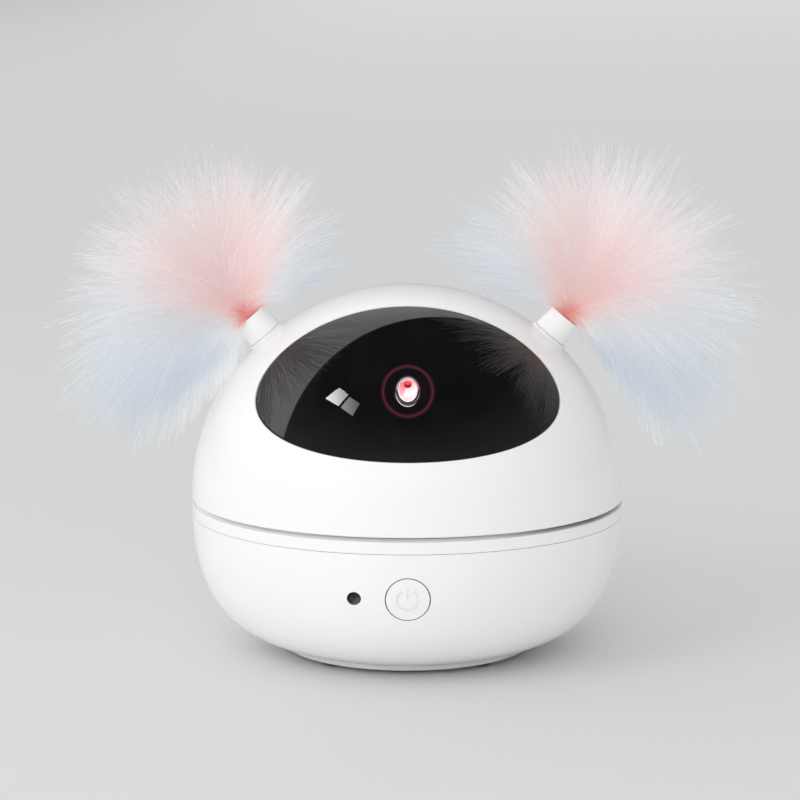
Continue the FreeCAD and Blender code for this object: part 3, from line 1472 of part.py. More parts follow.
os.makedirs("parts", exist_ok=True)
for name, make in nodes.items():
    shape = make()
    solids = shape.Solids
    volume = sum(solid.Volume for solid in solids)
    print(f"{name:22s} solids {len(solids)}  volume {volume:10.2f} mm3  valid {shape.isValid()}")
    if len(solids) == 1:
        shape = solids[0]
    shape.exportStep(os.path.join("parts", name + ".step"))
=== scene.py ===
"""Looks of an automatic laser toy for cats: white body, turning head with a dark visor, and two fur ears."""

import json
import logging
import math
from dataclasses import dataclass
from enum import Enum
from typing import Protocol

import bpy
import numpy as np
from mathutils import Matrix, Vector

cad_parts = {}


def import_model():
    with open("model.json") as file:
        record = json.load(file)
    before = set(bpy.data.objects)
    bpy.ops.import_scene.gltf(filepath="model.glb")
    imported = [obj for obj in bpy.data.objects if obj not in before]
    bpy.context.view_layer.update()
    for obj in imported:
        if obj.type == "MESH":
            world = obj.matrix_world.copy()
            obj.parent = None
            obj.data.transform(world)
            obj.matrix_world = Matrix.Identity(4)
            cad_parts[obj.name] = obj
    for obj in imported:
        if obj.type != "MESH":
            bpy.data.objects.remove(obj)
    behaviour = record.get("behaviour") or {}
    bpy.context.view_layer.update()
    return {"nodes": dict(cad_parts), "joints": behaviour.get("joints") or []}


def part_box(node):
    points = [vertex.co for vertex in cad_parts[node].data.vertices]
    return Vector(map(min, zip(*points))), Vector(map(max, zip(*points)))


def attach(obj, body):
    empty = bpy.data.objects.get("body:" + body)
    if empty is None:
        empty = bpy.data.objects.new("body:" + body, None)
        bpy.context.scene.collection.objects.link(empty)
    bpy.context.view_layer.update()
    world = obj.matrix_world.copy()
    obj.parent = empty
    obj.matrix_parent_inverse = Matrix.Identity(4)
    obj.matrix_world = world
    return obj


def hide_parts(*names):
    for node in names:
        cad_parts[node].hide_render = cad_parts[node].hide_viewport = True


log = logging.getLogger("cat_laser_toy")

Colour = tuple[float, float, float]
Point = tuple[float, float, float]


def grey(level: float) -> Colour:
    """A neutral colour of one level."""
    return (level, level, level)


# ---- Shader arithmetic ----


class Signal:
    """A socket of a material, with operators that add Math nodes on numbers."""

    def __init__(self, recipe: "Recipe", socket: bpy.types.NodeSocket) -> None:
        """Keep the recipe that owns the socket, and the socket."""
        self.recipe = recipe
        self.socket = socket

    def math(self, operation: str, *others: "Signal | float") -> "Signal":
        """Add one Math node with this signal first.

        Args:
            operation: The Math node's operation.
            others: Its second and third inputs.

        Returns:
            The node's value.
        """
        return self.recipe.math(operation, self, *others)

    def __add__(self, other: "Signal | float") -> "Signal":
        """Sum."""
        return self.math("ADD", other)

    def __radd__(self, other: float) -> "Signal":
        """Sum with a number on the left."""
        return self.recipe.math("ADD", other, self)

    def __sub__(self, other: "Signal | float") -> "Signal":
        """Difference."""
        return self.math("SUBTRACT", other)

    def __rsub__(self, other: float) -> "Signal":
        """Difference from a number."""
        return self.recipe.math("SUBTRACT", other, self)

    def __mul__(self, other: "Signal | float") -> "Signal":
        """Product."""
        return self.math("MULTIPLY", other)

    def __rmul__(self, other: float) -> "Signal":
        """Product with a number on the left."""
        return self.recipe.math("MULTIPLY", other, self)

    def __truediv__(self, other: "Signal | float") -> "Signal":
        """Quotient."""
        return self.math("DIVIDE", other)

    def clamped(self) -> "Signal":
        """The signal kept between 0 and 1."""
        return self.recipe.read("ShaderNodeClamp", {}, {"Value": self}, "Result")

    def step(self, low: float, high: float) -> "Signal":
        """A smooth step from 0 at low to 1 at high, or down where high is the lower one.

        Args:
            low: Value at which the step is 0.
            high: Value at which the step is 1.

        Returns:
            The stepped signal.
        """
        if low > high:
            return 1.0 - self.step(high, low)
        settings = {"interpolation_type": "SMOOTHSTEP"}
        inputs = {"Value": self, "From Min": low, "From Max": high, "To Min": 0.0, "To Max": 1.0}
        return self.recipe.read("ShaderNodeMapRange", settings, inputs, "Result")


class Recipe:
    """One material and the nodes that are added to it."""

    def __init__(self, name: str) -> None:
        """Start an empty material.

        Args:
            name: The material's name.
        """
        self.material = bpy.data.materials.new(name)
        self.material.use_nodes = True
        self.tree = self.material.node_tree
        self.tree.nodes.clear()

    def node(self, kind: str, settings: dict, inputs: dict) -> bpy.types.Node:
        """Add a node.

        Args:
            kind: The node's type.
            settings: Properties that are set first; "stops" are a ramp's (position, colour) pairs.
            inputs: Values, or signals that are linked, by the name or number of the socket.

        Returns:
            The node.
        """
        node = self.tree.nodes.new(kind)
        for key, value in settings.items():
            if key == "stops":
                self.fill_ramp(node.color_ramp, value)
            else:
                setattr(node, key, value)
        for key, value in inputs.items():
            socket = node.inputs[key]
            if isinstance(value, Signal):
                self.tree.links.new(value.socket, socket)
            elif isinstance(value, tuple) and socket.type == "RGBA":
                socket.default_value = (*value, 1.0)
            else:
                socket.default_value = value
        return node

    @staticmethod
    def fill_ramp(ramp: bpy.types.ColorRamp, stops: tuple[tuple[float, Colour], ...]) -> None:
        """Give a colour ramp its stops.

        Args:
            ramp: The ramp.
            stops: Positions from 0 to 1 and their colours.
        """
        while len(ramp.elements) < len(stops):
            ramp.elements.new(1.0)
        for element, (position, colour) in zip(ramp.elements, stops):
            element.position = position
            element.color = (*colour, 1.0)

    def read(self, kind: str, settings: dict, inputs: dict, output: str | int = 0) -> Signal:
        """Add a node and take one of its outputs.

        Args:
            kind: The node's type.
            settings: Its properties.
            inputs: Its inputs.
            output: Name or number of the output.

        Returns:
            The output's signal.
        """
        return Signal(self, self.node(kind, settings, inputs).outputs[output])

    def math(self, operation: str, *values: Signal | float) -> Signal:
        """Add one Math node.

        Args:
            operation: Its operation.
            values: Its inputs in order.

        Returns:
            Its value.
        """
        return self.read("ShaderNodeMath", {"operation": operation}, dict(enumerate(values)))

    def vector(self, operation: str, *values: Signal | Point, output: str = "Vector") -> Signal:
        """Add one Vector Math node.

        Args:
            operation: Its operation.
            values: Its inputs in order.
            output: Name of the output that is taken.

        Returns:
            Its vector or value.
        """
        return self.read("ShaderNodeVectorMath", {"operation": operation}, dict(enumerate(values)), output)

    def place(self) -> Signal:
        """The point's place in the object's own coordinates, in metres."""
        return self.read("ShaderNodeTexCoord", {}, {}, "Object")

    def axis(self, place: Signal, letter: str) -> Signal:
        """One coordinate, X, Y or Z, of a place."""
        return self.read("ShaderNodeSeparateXYZ", {}, {"Vector": place}, letter)

    def noise(self, scale: float, detail: float = 3.0, place: Signal | None = None) -> Signal:
        """Soft random values about 0.5.

        Args:
            scale: Cells in a metre.
            detail: Octaves of finer noise.
            place: The place that is read, or None for the object's coordinates.

        Returns:
            The noise.
        """
        inputs = {"Vector": place or self.place(), "Scale": scale, "Detail": detail}
        return self.read("ShaderNodeTexNoise", {}, inputs, "Fac")

    def blend(self, share: Signal | float, first: Signal | Colour, second: Signal | Colour,
              mode: str = "MIX") -> Signal:
        """Mix two colours.

        Args:
            share: 0 for the first colour, 1 for the second.
            first: One colour.
            second: The other colour.
            mode: The Mix node's blend type.

        Returns:
            The mixed colour.
        """
        settings = {"data_type": "RGBA", "blend_type": mode}
        return self.read("ShaderNodeMix", settings, {"Factor": share, 6: first, 7: second}, 2)

    def ramp(self, share: Signal, stops: tuple[tuple[float, Colour], ...]) -> Signal:
        """A colour ramp read at a share."""
        return self.read("ShaderNodeValToRGB", {"stops": stops}, {"Fac": share}, "Color")

    def bump(self, height: Signal, distance: float, strength: float = 1.0) -> Signal:
        """A normal from a height.

        Args:
            height: Height from 0 to 1.
            distance: How far 1 stands out, in metres.
            strength: Share of the effect.

        Returns:
            The normal.
        """
        inputs = {"Height": height, "Distance": distance, "Strength": strength}
        return self.read("ShaderNodeBump", {}, inputs, "Normal")

    def finish(self, inputs: dict) -> bpy.types.Material:
        """Close the material with one Principled shader, whose glow has a strength of 1 unless told.

        Args:
            inputs: The shader's values and signals, by the name of the socket.

        Returns:
            The material.
        """
        if "Emission Color" in inputs:
            inputs = {"Emission Strength": 1.0, **inputs}
        return self.close(self.read("ShaderNodeBsdfPrincipled", {}, inputs, "BSDF"))

    def shine(self, colour: Signal | Colour) -> Signal:
        """Plain light of a colour, as a shader of strength 1."""
        return self.read("ShaderNodeEmission", {}, {"Color": colour, "Strength": 1.0}, "Emission")

    def close(self, shader: Signal) -> bpy.types.Material:
        """Put a shader on the material's surface.

        Args:
            shader: The shader.

        Returns:
            The material.
        """
        self.node("ShaderNodeOutputMaterial", {}, {"Surface": shader})
        return self.material


# ---- Finishes ----


class Finish(Protocol):
    """A finish: it has its material's name and builds the material."""

    name: str

    def build(self) -> bpy.types.Material:
        """The material."""


@dataclass(frozen=True)
class MouldedPlastic:
    """Injection-moulded plastic with a fine grain, faint flow variation and handling wear."""

    name: str
    colour: Colour
    roughness: float
    roughness_spread: float = 0.05
    shade_spread: float = 0.03
    grain_cells: float = 9000.0
    grain_height: float = 0.000004
    specular: float = 0.5
    coat: float = 0.0

    def glow(self, recipe: Recipe) -> Signal | Colour:
        """Painted light on the plastic: none."""
        return grey(0.0)

    def build(self) -> bpy.types.Material:
        """Mix the colour's flow, the smudges and the grain.

        Returns:
            The material.
        """
        recipe = Recipe(self.name)
        flow = recipe.noise(38.0, 2.0)
        smudge = recipe.noise(160.0, 4.0)
        grain = recipe.noise(self.grain_cells, 2.0)
        darker = tuple(channel * (1.0 - self.shade_spread) for channel in self.colour)
        colour = recipe.blend(flow.step(0.3, 0.7), self.colour, darker)
        roughness = self.roughness + (smudge - 0.5) * self.roughness_spread + (grain - 0.5) * 0.02
        return recipe.finish({
            "Base Color": colour,
            "Roughness": roughness.clamped(),
            "Specular IOR Level": self.specular,
            "Coat Weight": self.coat,
            "Coat Roughness": 0.06,
            "Normal": recipe.bump(grain * 0.6 + flow * 0.4, self.grain_height),
            "Emission Color": self.glow(recipe),
        })


@dataclass(frozen=True)
class ShellPlastic(MouldedPlastic):
    """White shell plastic, with painted light: a glow on the rim's top face below the gap, on the lit side.
    """

    rim_height: float = 0.0384
    rim_radius: float = 0.0545
    rim_blur: float = 0.0004
    rim_light: float = 0.25
    lit_side: tuple[float, float] = (0.046, 0.010)

    def glow(self, recipe: Recipe) -> Signal | Colour:
        """Painted light on the rim's top face, from the left to the right where it dies away.

        Args:
            recipe: The material that asks.

        Returns:
            The light's colour.
        """
        place = recipe.place()
        height = recipe.axis(place, "Z") - self.rim_height
        out = recipe.vector("LENGTH", recipe.vector("MULTIPLY", place, (1.0, 1.0, 0.0)), output="Value")
        top = height.step(-self.rim_blur, -self.rim_blur / 2) * height.step(self.rim_blur, self.rim_blur / 2)
        within = out.step(self.rim_radius, self.rim_radius - self.rim_blur)
        # Painted light: the rim's top face glows on the lit side, below the gap.
        lit = top * within * recipe.axis(place, "X").step(*self.lit_side)
        return recipe.blend(lit, grey(0.0), grey(self.rim_light))


@dataclass(frozen=True)
class SmokedVisor:
    """Deep black glossy plastic, with a dim red halo where the laser's glow scatters round its opening."""

    name: str = "black_visor"
    colour: Colour = (0.0035, 0.0035, 0.0042)
    centre: Point = (0.0, -0.04324, 0.0733)
    outlook: Point = (0.0, -0.9873, 0.1590)
    halo_inner: float = 0.00535
    halo_crest: float = 0.0060
    halo_outer: float = 0.0067
    haze_reach: float = 0.0032
    haze_share: float = 0.05
    halo_light: Colour = (0.078, 0.011, 0.020)

    def build(self) -> bpy.types.Material:
        """Lay the halo as a band of distance from a line that looks a little upwards.

        Returns:
            The material.
        """
        recipe = Recipe(self.name)
        offset = recipe.vector("SUBTRACT", recipe.place(), self.centre)
        reach = recipe.vector("LENGTH", recipe.vector("CROSS_PRODUCT", offset, self.outlook), output="Value")
        rise = reach.step(self.halo_inner, self.halo_crest)
        halo = rise * reach.step(self.halo_outer, self.halo_crest)
        haze = reach.step(self.halo_inner, self.haze_reach) * self.haze_share
        smudge = recipe.noise(120.0, 5.0).step(0.45, 0.8)
        fine = recipe.noise(2500.0, 2.0)
        glow = recipe.blend((halo + haze).clamped(), grey(0.0), self.halo_light)
        return recipe.finish({
            "Base Color": recipe.blend(smudge, self.colour, grey(0.006)),
            "Roughness": 0.008 + smudge * 0.014 + fine * 0.004,
            "Specular IOR Level": 0.5,
            "Normal": recipe.bump(recipe.noise(22.0, 1.0), 0.00002),
            "Emission Color": glow,
        })


@dataclass(frozen=True)
class Metal:
    """Machined or drawn metal with fine lines along one axis and dulled patches."""

    name: str
    colour: Colour
    roughness: float
    lines: Point = (400.0, 400.0, 9000.0)
    line_height: float = 0.000003
    dull: float = 0.12

    def build(self) -> bpy.types.Material:
        """Mix the drawn lines with the dulled patches.

        Returns:
            The material.
        """
        recipe = Recipe(self.name)
        drawn = recipe.noise(1.0, 2.0, recipe.vector("MULTIPLY", recipe.place(), self.lines))
        patches = recipe.noise(300.0, 4.0)
        tarnished = tuple(channel * 0.8 for channel in self.colour)
        return recipe.finish({
            "Base Color": recipe.blend(patches.step(0.35, 0.8), self.colour, tarnished),
            "Metallic": 1.0,
            "Roughness": (self.roughness + (drawn - 0.5) * 0.1 + (patches - 0.5) * self.dull).clamped(),
            "Normal": recipe.bump(drawn, self.line_height),
        })


@dataclass(frozen=True)
class Opening:
    """Frame of the laser's opening: the tilt axis, the beam's direction and the direction up across it."""

    pivot: Point = (0.0, -0.03507197, 0.07401468)
    ahead: Point = (0.0, -0.99619, -0.08716)
    upward: Point = (0.0, -0.08716, 0.99619)

    def read(self, recipe: Recipe) -> tuple[Signal, Signal, Signal, Signal]:
        """A point's place in the beam's frame.

        Args:
            recipe: The material that asks.

        Returns:
            Distance to the right of the beam, up across it, ahead of the pivot, and out from the beam.
        """
        offset = recipe.vector("SUBTRACT", recipe.place(), self.pivot)
        aside = recipe.axis(offset, "X")
        height = recipe.vector("DOT_PRODUCT", offset, self.upward, output="Value")
        depth = recipe.vector("DOT_PRODUCT", offset, self.ahead, output="Value")
        return aside, height, depth, (aside * aside + height * height).math("SQRT")

    @staticmethod
    def towards(turn: float, aside: Signal, height: Signal, out: Signal) -> Signal:
        """How nearly a point lies at a turn round the beam: 1 there, 0 at a right angle to it.

        Args:
            turn: Degrees from the right, anticlockwise from in front.
            aside: The point's distance to the right.
            height: Its distance up.
            out: Its distance from the beam.

        Returns:
            The cosine of the angle between them.
        """
        angle = math.radians(turn)
        return (aside * math.cos(angle) + height * math.sin(angle)) / (out + 0.00001)


OPENING = Opening()


@dataclass(frozen=True)
class LitNozzle:
    """White glossy plastic round the laser's lens, with the laser's light painted on: a pink patch on the
    left, red in the hole.
    """

    name: str = "nozzle_white"
    hole: float = 0.00093
    edge: float = 0.00004
    funnel: float = 0.0023
    patch_turn: float = 190.0
    patch_depth: tuple[float, float] = (0.0060, 0.0046)
    rim_turn: float = 5.0

    def build(self) -> bpy.types.Material:
        """Paint the laser's light, in colour and glow: red on the hole's wall, pink deep on the funnel's left
        and on the rim's right, and a faint grey glow elsewhere.

        Returns:
            The material.
        """
        recipe = Recipe(self.name)
        aside, height, depth, out = OPENING.read(recipe)
        wall = out.step(self.hole + self.edge, self.hole)
        sector = OPENING.towards(self.patch_turn, aside, height, out).step(0.45, 0.85)
        patch = sector * depth.step(*self.patch_depth) * out.step(self.funnel, self.funnel - self.edge) * 0.8
        facing = OPENING.towards(self.rim_turn, aside, height, out).step(0.55, 0.95)
        rim = facing * out.step(self.funnel - 0.0002, self.funnel) * 0.6
        # Painted light: the laser's pink light on the funnel's left and on the rim's right.
        painted_laser_light = patch.math("MAXIMUM", rim)
        sheen = recipe.noise(2000.0, 2.0)
        colour = recipe.blend(painted_laser_light, (0.95, 0.93, 0.93), (0.88, 0.26, 0.31))
        glow = recipe.blend(painted_laser_light, (0.26, 0.24, 0.242), (0.30, 0.045, 0.07))
        return recipe.finish({
            "Base Color": recipe.blend(wall, colour, (0.62, 0.05, 0.09)),
            "Roughness": 0.16 + sheen * 0.05,
            "Coat Weight": 0.6,
            "Coat Roughness": 0.05,
            "Normal": recipe.bump(sheen, 0.000004),
            "Emission Color": recipe.blend(wall, glow, (0.16, 0.004, 0.012)),
        })


@dataclass(frozen=True)
class LitRing:
    """Metal ring round the nozzle, dark inside; its polished lip carries a painted highlight of the laser's
    glow, low on the left.
    """

    name: str = "bezel_metal"
    glow_turn: float = 248.0
    lip_radius: float = 0.00292
    edge: float = 0.00004

    def build(self) -> bpy.types.Material:
        """Polish the front lip, which alone carries the painted highlight of the glow.

        Returns:
            The material.
        """
        recipe = Recipe(self.name)
        aside, height, _, out = OPENING.read(recipe)
        caught = OPENING.towards(self.glow_turn, aside, height, out).step(0.35, 0.95)
        polished = out.step(self.lip_radius, self.lip_radius + self.edge)
        # Painted highlight: the laser's glow on the lip, low on the left.
        painted_lip_glow = caught * polished
        marks = recipe.noise(4000.0, 2.0)
        return recipe.finish({
            "Base Color": recipe.blend(polished, grey(0.05), recipe.blend(marks, grey(0.66), grey(0.74))),
            "Metallic": 1.0,
            "Roughness": 0.14 + marks * 0.08,
            "Emission Color": recipe.blend(painted_lip_glow, grey(0.0), (0.85, 0.76, 0.78)),
        })


@dataclass(frozen=True)
class LaserLens:
    """Small glass lens that glows red from the diode behind it, brightest a little above its middle."""

    name: str = "lens_glass"
    lift: float = 0.00022
    spot_radius: float = 0.00095

    def build(self) -> bpy.types.Material:
        """Spread the diode's spot and darken the lens's low part.

        Returns:
            The material.
        """
        recipe = Recipe(self.name)
        aside, height, _, _ = OPENING.read(recipe)
        lifted = height - self.lift
        spot = (aside * aside + lifted * lifted).math("SQRT").step(self.spot_radius, 0.0001)
        low = height.step(-0.0002, -0.0007)
        speckle = recipe.noise(5000.0, 2.0)
        glow = recipe.blend(spot, (0.36, 0.002, 0.018), (0.95, 0.10, 0.13))
        return recipe.finish({
            "Base Color": recipe.blend(speckle, (0.35, 0.01, 0.02), (0.42, 0.03, 0.03)),
            "Roughness": 0.05 + speckle * 0.05,
            "Emission Color": recipe.blend(low, glow, (0.05, 0.0, 0.002)),
            "Emission Strength": 0.9,
        })


@dataclass(frozen=True)
class Rubber:
    """Matt moulded rubber or wire insulation, a little dusty."""

    name: str
    colour: Colour
    dust: Colour

    def build(self) -> bpy.types.Material:
        """Lay dust over the moulded grain.

        Returns:
            The material.
        """
        recipe = Recipe(self.name)
        dusty = recipe.noise(420.0, 5.0).step(0.45, 0.75)
        grain = recipe.noise(6000.0, 2.0)
        return recipe.finish({
            "Base Color": recipe.blend(dusty * 0.4, self.colour, self.dust),
            "Roughness": 0.6 + dusty * 0.2 + grain * 0.08,
            "Specular IOR Level": 0.35,
            "Normal": recipe.bump(grain, 0.000012),
        })


@dataclass(frozen=True)
class CircuitBoard:
    """Solder mask over copper tracks, the tracks a fine pattern of cells and lines."""

    name: str = "board_green"
    mask: Colour = (0.012, 0.16, 0.06)
    over_copper: Colour = (0.03, 0.27, 0.10)
    pitch: float = 700.0

    def build(self) -> bpy.types.Material:
        """Join the tracks and the poured copper under the mask.

        Returns:
            The material.
        """
        recipe = Recipe(self.name)
        tracks = recipe.read("ShaderNodeTexBrick", {"offset": 0.35}, {
            "Vector": recipe.place(), "Scale": self.pitch, "Mortar Size": 0.12, "Color1": grey(0.0),
            "Color2": grey(0.0), "Mortar": grey(1.0)}, "Fac")
        pour = recipe.noise(260.0, 1.0).step(0.52, 0.56)
        copper = tracks.math("MAXIMUM", pour)
        weave = recipe.noise(3000.0, 2.0)
        return recipe.finish({
            "Base Color": recipe.blend(copper, self.mask, self.over_copper),
            "Roughness": 0.28 + weave * 0.12,
            "Normal": recipe.bump(copper * 0.8 + weave * 0.2, 0.00002),
        })


@dataclass(frozen=True)
class FoilPouch:
    """Laminated aluminium foil of a battery pouch, slightly creased."""

    name: str = "battery_foil"

    def build(self) -> bpy.types.Material:
        """Crease the foil along the edges of large cells.

        Returns:
            The material.
        """
        recipe = Recipe(self.name)
        settings = {"feature": "DISTANCE_TO_EDGE"}
        creases = recipe.read("ShaderNodeTexVoronoi", settings, {"Scale": 130.0}, "Distance")
        patches = recipe.noise(90.0, 3.0)
        return recipe.finish({
            "Base Color": recipe.blend(patches, (0.70, 0.72, 0.75), (0.58, 0.60, 0.63)),
            "Metallic": 0.85,
            "Roughness": 0.32 + patches * 0.16,
            "Normal": recipe.bump(creases.step(0.0, 0.12), 0.00006, 0.6),
        })


@dataclass(frozen=True)
class FoamTape:
    """Open-celled foam."""

    name: str = "foam"

    def build(self) -> bpy.types.Material:
        """Sink fine cells into the foam.

        Returns:
            The material.
        """
        recipe = Recipe(self.name)
        cells = recipe.read("ShaderNodeTexVoronoi", {}, {"Scale": 1800.0}, "Distance")
        return recipe.finish({
            "Base Color": recipe.blend(cells.step(0.1, 0.7), grey(0.02), grey(0.09)),
            "Roughness": 0.92 - cells * 0.1,
            "Specular IOR Level": 0.2,
            "Normal": recipe.bump(cells, 0.0002),
        })


@dataclass(frozen=True)
class SmokedWindow:
    """Dark domed window over an indicator lamp, with painted light: a paler crescent low on its right."""

    name: str = "dark_window"
    centre: Point = (-0.013, 0.0, 0.0241)
    radius: float = 0.0016

    def build(self) -> bpy.types.Material:
        """Paint a paler crescent of light low on the lamp's right.

        Returns:
            The material.
        """
        recipe = Recipe(self.name)
        place = recipe.place()
        aside = recipe.axis(place, "X") - self.centre[0]
        height = recipe.axis(place, "Z") - self.centre[2]
        lean = (aside - height) * (0.7 / self.radius)
        # Painted light: a paler crescent in the base colour, low on the right.
        painted_light_crescent = lean.step(0.15, 0.75)
        grain = recipe.noise(4000.0, 2.0)
        return recipe.finish({
            "Base Color": recipe.blend(painted_light_crescent, grey(0.006), grey(0.10)),
            "Roughness": 0.08 + grain * 0.06,
            "Coat Weight": 0.5,
            "Coat Roughness": 0.04,
            "Normal": recipe.bump(grain, 0.000004),
        })


@dataclass(frozen=True)
class TuftFibre:
    """Soft dyed down: deep pink at the root, white along its length, pale blue where it is far from the core.

    The strands carry an attribute: red is the distance from the collar over the reach, green is the share
    of pale blue, blue is the share of pink, and alpha is each strand's own value.
    """

    name: str = "tuft_fibre"
    attribute: str = "strand"
    white: Colour = (0.83, 0.85, 0.87)
    blue: Colour = (0.585, 0.66, 0.745)
    dyes: tuple[tuple[float, Colour], ...] = (
        (0.04, (0.82, 0.24, 0.22)), (0.12, (0.88, 0.54, 0.52)), (0.28, (0.90, 0.61, 0.60)),
        (0.65, (0.87, 0.69, 0.68)))

    def build(self) -> bpy.types.Material:
        """Mix the dyes by the strands' attribute, and paint a faint glow of light onto the down.

        Returns:
            The material.
        """
        recipe = Recipe(self.name)
        stored = recipe.node("ShaderNodeAttribute", {"attribute_name": self.attribute}, {})
        split = recipe.node("ShaderNodeSeparateColor", {}, {"Color": Signal(recipe, stored.outputs["Color"])})
        along, blueness, pinkness = (Signal(recipe, split.outputs[number]) for number in range(3))
        own = Signal(recipe, stored.outputs["Alpha"])
        dyed = recipe.ramp(along, self.dyes)
        colour = recipe.blend(pinkness, recipe.blend(blueness, self.white, self.blue), dyed)
        colour = recipe.blend(0.28 * own, colour, grey(0.55), "MULTIPLY")
        # Painted light: the down glows with 12 to 22 % of its colour, the most where it is pink.
        through = recipe.blend(0.12 + 0.10 * pinkness, grey(0.0), colour)
        return recipe.finish({
            "Base Color": colour,
            "Roughness": 0.5 + own * 0.2,
            "Specular IOR Level": 0.3,
            "Sheen Weight": 0.35,
            "Sheen Roughness": 0.4,
            "Emission Color": through,
        })


FINISHES: tuple[tuple[Finish, str], ...] = (
    (ShellPlastic("white_shell", grey(0.86), roughness=0.17, roughness_spread=0.04, shade_spread=0.012,
                  grain_height=0.0000015, specular=0.22, coat=0.07),
     "base_bowl base_deck bottom_cover power_button dome_shell left_ear_collar right_ear_collar"),
    (MouldedPlastic("white_inner", (0.80, 0.80, 0.79), 0.45), "head_floor laser_frame"),
    (SmokedVisor(), "visor"),
    (LitRing(), "laser_bezel"),
    (LitNozzle(), "laser_nozzle"),
    (SmokedWindow(), "indicator_lens"),
    (MouldedPlastic("lamp_resin", (0.80, 0.76, 0.62), 0.2, coat=0.5), "indicator_led"),
    (Rubber("foot_rubber", grey(0.10), grey(0.25)), "rubber_feet"),
    (Metal("steel", (0.56, 0.56, 0.58), 0.28),
     "long_screws board_screws front_board_screws charging_socket charge_board_screws turn_motor_can "
     "turn_motor_screws turn_shaft dome_screws gear_screws retaining_clip head_board_screws frame_screws "
     "tilt_motor_can tilt_motor_screws tilt_shaft"),
    (Metal("brass", (0.80, 0.58, 0.26), 0.25), "laser_barrel turn_gearbox tilt_gearbox"),
    (Metal("contact_copper", (0.90, 0.62, 0.30), 0.22), "slip_rings brush_fingers"),
    (MouldedPlastic("acetal", (0.84, 0.83, 0.78), 0.38, specular=0.5),
     "thrust_washer turn_gear turn_pinion tilt_pinion"),
    (CircuitBoard(), "main_board front_board charge_board head_board slip_ring_disc"),
    (MouldedPlastic("chip_black", grey(0.014), 0.42, grain_height=0.00001),
     "board_chips brush_block tact_switch switch_plunger socket_tongue"),
    (MouldedPlastic("connector_cream", (0.78, 0.72, 0.58), 0.4), "board_connectors head_connectors"),
    (FoilPouch(), "battery_pack"),
    (FoamTape(), "battery_pad"),
    (Rubber("lead_red", (0.42, 0.012, 0.012), (0.5, 0.12, 0.1)), "battery_leads spindle_leads"),
    (MouldedPlastic("carriage_black", grey(0.02), 0.4), "laser_carriage"),
    (LaserLens(), "laser_lens"),
)


# ---- Meshes ----


def unit(vectors: np.ndarray) -> np.ndarray:
    """Vectors over their lengths."""
    return vectors / np.linalg.norm(vectors, axis=-1, keepdims=True)


def smooth_step(values: np.ndarray, low: float, high: float) -> np.ndarray:
    """0 up to low, 1 from high, and a smooth rise between them."""
    share = np.clip((values - low) / (high - low), 0.0, 1.0)
    return share * share * (3.0 - 2.0 * share)


def add_mesh(name: str, points: np.ndarray, quads: np.ndarray) -> bpy.types.Object:
    """Put points and faces of four corners into a new object.

    Args:
        name: The object's name.
        points: Places, one row each.
        quads: Corner numbers, one row of four for each face.

    Returns:
        The object, in the scene.
    """
    mesh = bpy.data.meshes.new(name)
    mesh.vertices.add(len(points))
    mesh.vertices.foreach_set("co", points.astype(np.float32).ravel())
    mesh.loops.add(quads.size)
    mesh.loops.foreach_set("vertex_index", quads.astype(np.int32).ravel())
    mesh.polygons.add(len(quads))
    mesh.polygons.foreach_set("loop_start", np.arange(0, quads.size, quads.shape[1], dtype=np.int32))
    mesh.polygons.foreach_set("use_smooth", np.ones(len(quads), dtype=bool))
    mesh.update(calc_edges=True)
    made = bpy.data.objects.new(name, mesh)
    bpy.context.scene.collection.objects.link(made)
    return made


# ---- Ears ----


class Side(Enum):
    """Which ear, and the sign of its X."""

    LEFT = 1.0
    RIGHT = -1.0


# Reach of the down in metres by the angle in degrees from the collar's axis, towards the head's crown.
REACH: dict[Side, tuple[tuple[float, ...], tuple[float, ...]]] = {
    Side.LEFT: ((-105, -98, -92, -80, -60, -40, 0, 30, 66, 96, 108, 114),
                (0.042, 0.0485, 0.0515, 0.0535, 0.0530, 0.0525, 0.0505, 0.0470, 0.0440, 0.0435, 0.0380,
                 0.0300)),
    Side.RIGHT: ((-126, -114, -107, -100, -92, -80, -60, -40, -10, 13, 31, 53, 72, 84, 99, 112),
                 (0.017, 0.0240, 0.0410, 0.0475, 0.0525, 0.0545, 0.0535, 0.0525, 0.0500, 0.0475, 0.0455,
                  0.0425, 0.0405, 0.0375, 0.0360, 0.0290)),
}


@dataclass(frozen=True)
class Rise:
    """A smooth rise to a share between two values of an angle in degrees or a length in metres."""

    low: float
    high: float
    share: float = 1.0

    def at(self, values: np.ndarray) -> np.ndarray:
        """The rise at each value."""
        return self.share * smooth_step(values, self.low, self.high)


@dataclass(frozen=True)
class Hair:
    """One kind of strand in a tuft: its number, thickness, gathering, bend, length, shade and dye."""

    strands: int
    clumps: int
    radius: float
    tip_share: float
    clump_width: float
    clump_pull: float
    wander: float
    shortest: float
    longest: float
    shade: tuple[float, float]
    dye_share: float


UNDERDOWN = Hair(strands=15200, clumps=760, radius=0.000045, tip_share=0.25, clump_width=0.120,
                 clump_pull=0.74, wander=0.034, shortest=0.48, longest=1.0, shade=(0.2, 1.0), dye_share=1.0)
GUARD_HAIR = Hair(strands=1600, clumps=420, radius=0.000082, tip_share=0.55, clump_width=0.080,
                  clump_pull=0.90, wander=0.018, shortest=0.90, longest=1.05, shade=(0.0, 0.25),
                  dye_share=0.65)
SEEDS: dict[Side, int] = {Side.LEFT: 7, Side.RIGHT: 11}
MOUTH_DROP = 0.0026


